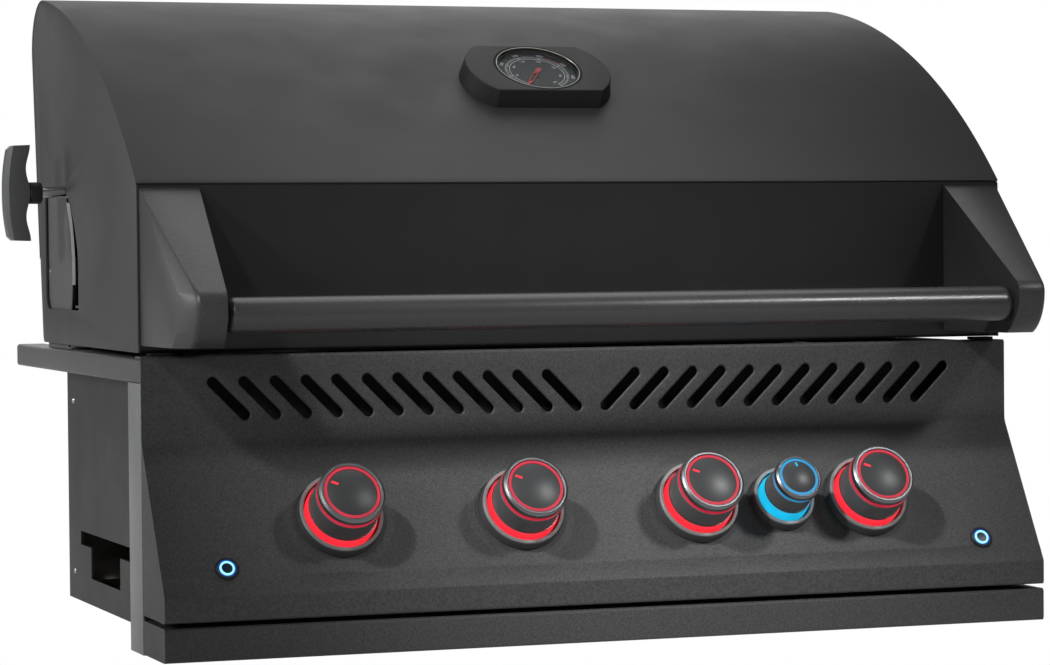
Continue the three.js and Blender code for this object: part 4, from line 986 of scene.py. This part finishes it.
class GRILL_OT_drip_drawer(bpy.types.Operator):
    """Builds the front of the drip-tray drawer"""

    bl_idname = "grill.drip_drawer"
    bl_label = "Drip drawer"

    def execute(self, context):
        sheet = context.scene.grill_sizes.sheet
        low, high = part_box("drawer_front")
        line = [(high.y, high.z), (low.y, high.z), (low.y, low.z), (high.y, low.z)]
        line = filleted(line, [3 * MM, 3 * MM])
        face = sheet_from(on_yz(line, low.x), (high.x - low.x, 0, 0), -sheet)
        front, bottom, top = low.y + 0.4 * MM, low.z + 0.4 * MM, high.z - 0.4 * MM
        end = filleted([(high.y, top), (front, top), (front, bottom), (high.y, bottom)], [2.6 * MM, 2.6 * MM])
        cheek = solid_from(on_yz(end, high.x - sheet - 0.1 * MM), (sheet, 0, 0))
        whole = merged(face, cheek, mirrored(cheek))
        piece("drawer_fascia", whole, "powder", "drawer", ["drawer_front"], 40)
        finish_nodes("stainless", "drip_tray")
        return {"FINISHED"}


class GRILL_OT_side_trims(bpy.types.Operator):
    """Rounds the side trims: the flange on the counter and the front leg"""

    bl_idname = "grill.side_trims"
    bl_label = "Side trims"

    def execute(self, context):
        low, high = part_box("side_trim_right")
        sheet = context.scene.grill_sizes.sheet
        flange = filleted([(low.x, 0), (high.x, 0), (high.x, high.z), (low.x, high.z)], [2.5 * MM, 3 * MM])
        channel = sheet_from(on_xz(flange, low.y), (0, high.y - low.y, 0), sheet)
        leg = filleted([(low.x, 0), (high.x, 0), (high.x, low.y)], [2.5 * MM])
        post = sheet_from(on_xy(leg, low.z), (0, 0, -low.z), sheet)
        foot = block((low.x, low.y, low.z), (high.x - sheet, -sheet, low.z + sheet))
        pair("trim", softened(channel, 0.4 * MM, 2, 60), "trim", "base", "side_trim")
        pair("post", merged(softened(post, 0.4 * MM, 2, 60), foot), "post", "base")
        finish_nodes("rubber", "lid_bumper_left", "lid_bumper_right")
        return {"FINISHED"}


class GRILL_OT_firebox(bpy.types.Operator):
    """Finishes the firebox walls and adds their fasteners"""

    bl_idname = "grill.firebox"
    bl_label = "Firebox"

    def execute(self, context):
        finish_nodes("wall", "firebox_side_left", "firebox_side_right")
        # The firebox front is painted near black as the shade seen through the vent slots
        finish_nodes("slot_shade", "firebox_front")
        finish_nodes("stainless", "firebox_rear", "hinge_arm_left", "hinge_arm_right")
        finish_nodes("trim", "hinge_plate_left", "hinge_plate_right")
        self.hinge_faces()
        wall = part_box("firebox_side_right")[1].x
        heads = []
        for y, z in ((336, -192), (336, -30), (330, 8), (20, -192), (60, -140)):
            dome = turned([(0, 1.5), (1.4, 1.3), (2.6, 0.6), (3, 0), (0, 0)], steps=24)
            heads.append(placed(dome, Matrix.Translation((wall, y * MM, z * MM)) @ SIDEWAYS))
        pair("wall_rivets", merged(*heads), "stainless", "base")
        return {"FINISHED"}

    def hinge_faces(self):
        """An enamelled face on each hinge plate, its bare front edge painted near white as a highlight that
        ends partway down, and the peened head of the pin.
        """
        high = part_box("hinge_plate_right")[1]
        front = SPIT.y + 6.2 * MM
        face_x = 403.2 * MM
        radius = 103.5 * MM
        centre = (PIVOT.y, PIVOT.z)
        start, highlight_end = acos((front - PIVOT.y) / radius), radians(186)
        rim = arc(centre, radius, start, radians(200), 32)
        outline = [(high.y, rim[-1][1]), (high.y, high.z), (front, high.z)] + rim
        face = solid_from(on_yz(outline, face_x - 0.8 * MM), (0.8 * MM, 0, 0))
        # Painted highlight: the bare front edge is near white and stops where the light on it fades
        band = arc(centre, radius + 0.5 * MM, start, highlight_end, 32)
        band += arc(centre, radius + 0.05 * MM, highlight_end, start, 32)
        edge = solid_from(on_yz(band, face_x - 2.6 * MM), (2.6 * MM, 0, 0))
        head = placed(turned([(0, 0), (6.5, 0), (6.2, 0.5), (0, 0.7)], steps=48),
                      Matrix.Translation((face_x, PIVOT.y, PIVOT.z)) @ SIDEWAYS)
        pair("hinge_face", face, "trim", "base")
        pair("hinge_edge", edge, "bare_edge_highlight", "base")
        pair("hinge_pin_head", head, "rim", "base")


class GRILL_OT_spit(bpy.types.Operator):
    """Builds the spit rod, its bushing and its T grip"""

    bl_idname = "grill.spit"
    bl_label = "Spit"

    def execute(self, context):
        along = Matrix.Translation((0, SPIT.y, SPIT.z)) @ SIDEWAYS
        left, right = (corner.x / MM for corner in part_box("spit_rod"))
        rod = turned([(0, left), (5, left), (5, right), (0, right)], [0.5, 1.5], steps=48)
        piece("spit_bar", placed(rod, along), "chrome", "spit", ["spit_rod"])
        left, right = (corner.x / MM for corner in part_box("spit_bushing"))
        bush = turned([(5.2, left), (10, left), (10, right), (5.2, right)], [1, 1.8], steps=64)
        piece("spit_collar", placed(bush, along), "plastic", "spit", ["spit_bushing"])
        low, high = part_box("spit_grip")
        middle, half = ((low + high) / 2).z, (high.z - low.z) / 2
        outline = []
        for step in range(25):
            share = 1 - step / 12
            wave = 4 * MM * (1 - cos(tau * share)) / 2
            outline.append((high.x - wave, middle + half * share))
        for step in range(25):
            share = step / 12 - 1
            outline.append((low.x + 4.5 * MM * abs(share) ** 2.2, middle + half * share * 0.985))
        grip = solid_from(on_xz(outline, low.y), (0, high.y - low.y, 0))
        softened(grip, 5 * MM, 1, 60, lambda edge: all(v.co.x < low.x + 5 * MM for v in edge.verts))
        softened(grip, 0.8 * MM, 3, 25)
        piece("spit_handle", grip, "grip", "spit", ["spit_grip"], 50)
        return {"FINISHED"}


class GRILL_OT_gas_line(bpy.types.Operator):
    """Finishes the manifold, the burners and the ignition module"""

    bl_idname = "grill.gas_line"
    bl_label = "Gas line"

    def execute(self, context):
        finish_nodes("brass", "gas_manifold")
        finish_nodes("plastic", "ignition_module")
        finish_nodes("stainless_deep", *[f"burner_{index}" for index in range(1, 5)])
        return {"FINISHED"}


class GRILL_OT_cooking_surface(bpy.types.Operator):
    """Finishes the grids, the sear plates, the warming rack and the rear burner"""

    bl_idname = "grill.cooking_surface"
    bl_label = "Cooking surface"

    def execute(self, context):
        finish_nodes("iron", "cooking_grid_left", "cooking_grid_right")
        finish_nodes("stainless_deep", *[f"sear_plate_{index}" for index in range(1, 5)])
        finish_nodes("chrome", "warming_rack")
        finish_nodes("tile", "rear_burner")
        return {"FINISHED"}


# Stage


class GRILL_OT_stage(bpy.types.Operator):
    """Sets the floor, the soft studio lights and the camera"""

    bl_idname = "grill.stage"
    bl_label = "Stage"

    def execute(self, context):
        self.floor()
        self.world(context.scene)
        self.lights()
        self.camera(context.scene)
        context.scene.view_settings.view_transform = "Standard"
        return {"FINISHED"}

    def floor(self):
        """White paper, which the camera sees as pure white and the gloss of the grill as a soft grey."""
        material, tree, place = blank("studio_paper_white")
        base = blend(tree, noise(tree, place, 8), (0.66, 0.66, 0.66, 1), (0.7, 0.7, 0.7, 1))
        paper = add(tree, "ShaderNodeBsdfDiffuse", {"Color": base})
        white = add(tree, "ShaderNodeEmission", {"Color": (1, 1, 1, 1), "Strength": 1.0})
        path = add(tree, "ShaderNodeLightPath")
        gloss = add(tree, "ShaderNodeMath", {0: path.outputs["Is Glossy Ray"], 1: 0.4}, operation="MULTIPLY")
        seen = add(tree, "ShaderNodeMath", {0: path.outputs["Is Camera Ray"], 1: gloss.outputs["Value"]},
                   operation="MAXIMUM")
        output(tree, add(tree, "ShaderNodeMixShader", {
            0: seen.outputs["Value"], 1: paper.outputs["BSDF"], 2: white.outputs["Emission"]}), "Shader")
        bm = bmesh.new()
        bmesh.ops.create_grid(bm, x_segments=8, y_segments=8, size=12)
        bmesh.ops.translate(bm, verts=bm.verts, vec=(0, 0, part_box("side_trim_left")[0].z - 0.5 * MM))
        floor = linked("studio_floor", bm)
        floor.data.materials.append(material)

    def world(self, scene):
        """A faint even fill, behind which the camera sees pure white."""
        world = bpy.data.worlds.new("studio_world")
        world.use_nodes = True
        tree = world.node_tree
        tree.nodes.clear()
        path = add(tree, "ShaderNodeLightPath")
        fill, white = (add(tree, "ShaderNodeBackground", {"Color": (1, 1, 1, 1), "Strength": strength})
                       for strength in (0.08, 1.0))
        both = add(tree, "ShaderNodeMixShader", {
            0: path.outputs["Is Camera Ray"], 1: fill.outputs["Background"], 2: white.outputs["Background"]})
        add(tree, "ShaderNodeOutputWorld", {"Surface": both.outputs["Shader"]})
        scene.world = world

    def lights(self):
        """Soft lamps all round, and three beams whose edges fade out on the grill."""
        middle = Vector((0, -0.05, 0))
        panel = Vector((0.06, -0.1, -0.08))
        left_end = Vector((-0.5, 0.2, 0.14))
        for name, way, distance, size, power in (
                ("top_light", (0.15, 0.3, 0.93), 2.8, 2.4, 20),
                ("left_light", (-0.9, 0.35, 0.25), 2.3, 0.9, 12),
                ("back_light", (0.2, 1.0, 0.35), 3.2, 3.0, 30),
                ("front_fill", (-0.2, -1.0, 0.25), 3.5, 2.5, 3)):
            lamp = self.hang(name, "AREA", power, middle, way, distance)
            lamp.shape = "DISK"
            lamp.size = size
        for name, target, way, cone, radius, power in (
                ("key_beam", panel, (-0.633, -0.456, 0.626), 14, 0.12, 370),
                ("left_beam", left_end, (-0.8, -0.5, 0.3), 12, 0.4, 480),
                ("knob_beam", panel, (0.62, -0.70, 0.77), 11, 0.25, 240)):
            lamp = self.hang(name, "SPOT", power, target, way, 3.2)
            lamp.spot_size = radians(cone)
            lamp.spot_blend = 1.0
            lamp.shadow_soft_size = radius

    def hang(self, name, kind, power, target, way, distance):
        """A new lamp that hangs away from its target in a direction and faces it."""
        data = bpy.data.lights.new(name, kind)
        data.energy = power
        lamp = bpy.data.objects.new(name, data)
        way = Vector(way).normalized()
        lamp.location = target + way * distance
        lamp.rotation_euler = (-way).to_track_quat("-Z", "Y").to_euler()
        bpy.context.scene.collection.objects.link(lamp)
        return data

    def camera(self, scene):
        """The camera that was fitted to the photograph."""
        data = bpy.data.cameras.new("photo_camera")
        data.lens = 119.34
        data.sensor_width = 36
        data.clip_start, data.clip_end = 0.05, 60
        yaw, pitch, roll = radians(19.66), radians(1.54), radians(-0.52)
        turn = (Matrix.Rotation(-yaw, 4, "Z") @ Matrix.Rotation(RIGHT_ANGLE - pitch, 4, "X")
                @ Matrix.Rotation(roll, 4, "Z"))
        camera = bpy.data.objects.new("photo_camera", data)
        camera.matrix_world = Matrix.Translation((-1.0878, -2.921, 0.1195)) @ turn
        scene.collection.objects.link(camera)
        scene.camera = camera


class GRILL_PT_panel(bpy.types.Panel):
    """Lists the steps that dress the grill."""

    bl_idname = "GRILL_PT_panel"
    bl_label = "Built-in grill"
    bl_space_type = "VIEW_3D"
    bl_region_type = "UI"
    bl_category = "Grill"

    def draw(self, context):
        for group in (context.scene.grill_sizes, context.scene.grill_colours):
            for key in group.bl_rna.properties.keys():
                if key not in ("rna_type", "name"):
                    self.layout.prop(group, key)
        for operator in OPERATORS:
            self.layout.operator(operator.bl_idname)


OPERATORS = (
    GRILL_OT_lid_shell, GRILL_OT_lid_handle, GRILL_OT_thermometer, GRILL_OT_control_panel,
    GRILL_OT_burner_knobs, GRILL_OT_push_buttons, GRILL_OT_drip_drawer, GRILL_OT_side_trims,
    GRILL_OT_firebox, GRILL_OT_spit, GRILL_OT_gas_line, GRILL_OT_cooking_surface, GRILL_OT_stage,
)
CLASSES = (GrillSizes, GrillColours, *OPERATORS, GRILL_PT_panel)


def register():
    for cls in CLASSES:
        bpy.utils.register_class(cls)
    bpy.types.Scene.grill_sizes = PointerProperty(type=GrillSizes)
    bpy.types.Scene.grill_colours = PointerProperty(type=GrillColours)


def unregister():
    del bpy.types.Scene.grill_colours
    del bpy.types.Scene.grill_sizes
    for cls in reversed(CLASSES):
        bpy.utils.unregister_class(cls)


def main():
    register()
    make_finishes(bpy.context.scene.grill_colours)
    bpy.ops.grill.lid_shell()
    bpy.ops.grill.lid_handle()
    bpy.ops.grill.thermometer()
    bpy.ops.grill.control_panel()
    bpy.ops.grill.burner_knobs()
    bpy.ops.grill.push_buttons()
    bpy.ops.grill.drip_drawer()
    bpy.ops.grill.side_trims()
    bpy.ops.grill.firebox()
    bpy.ops.grill.spit()
    bpy.ops.grill.gas_line()
    bpy.ops.grill.cooking_surface()
    bpy.ops.grill.stage()


if __name__ == "__main__":
    main()
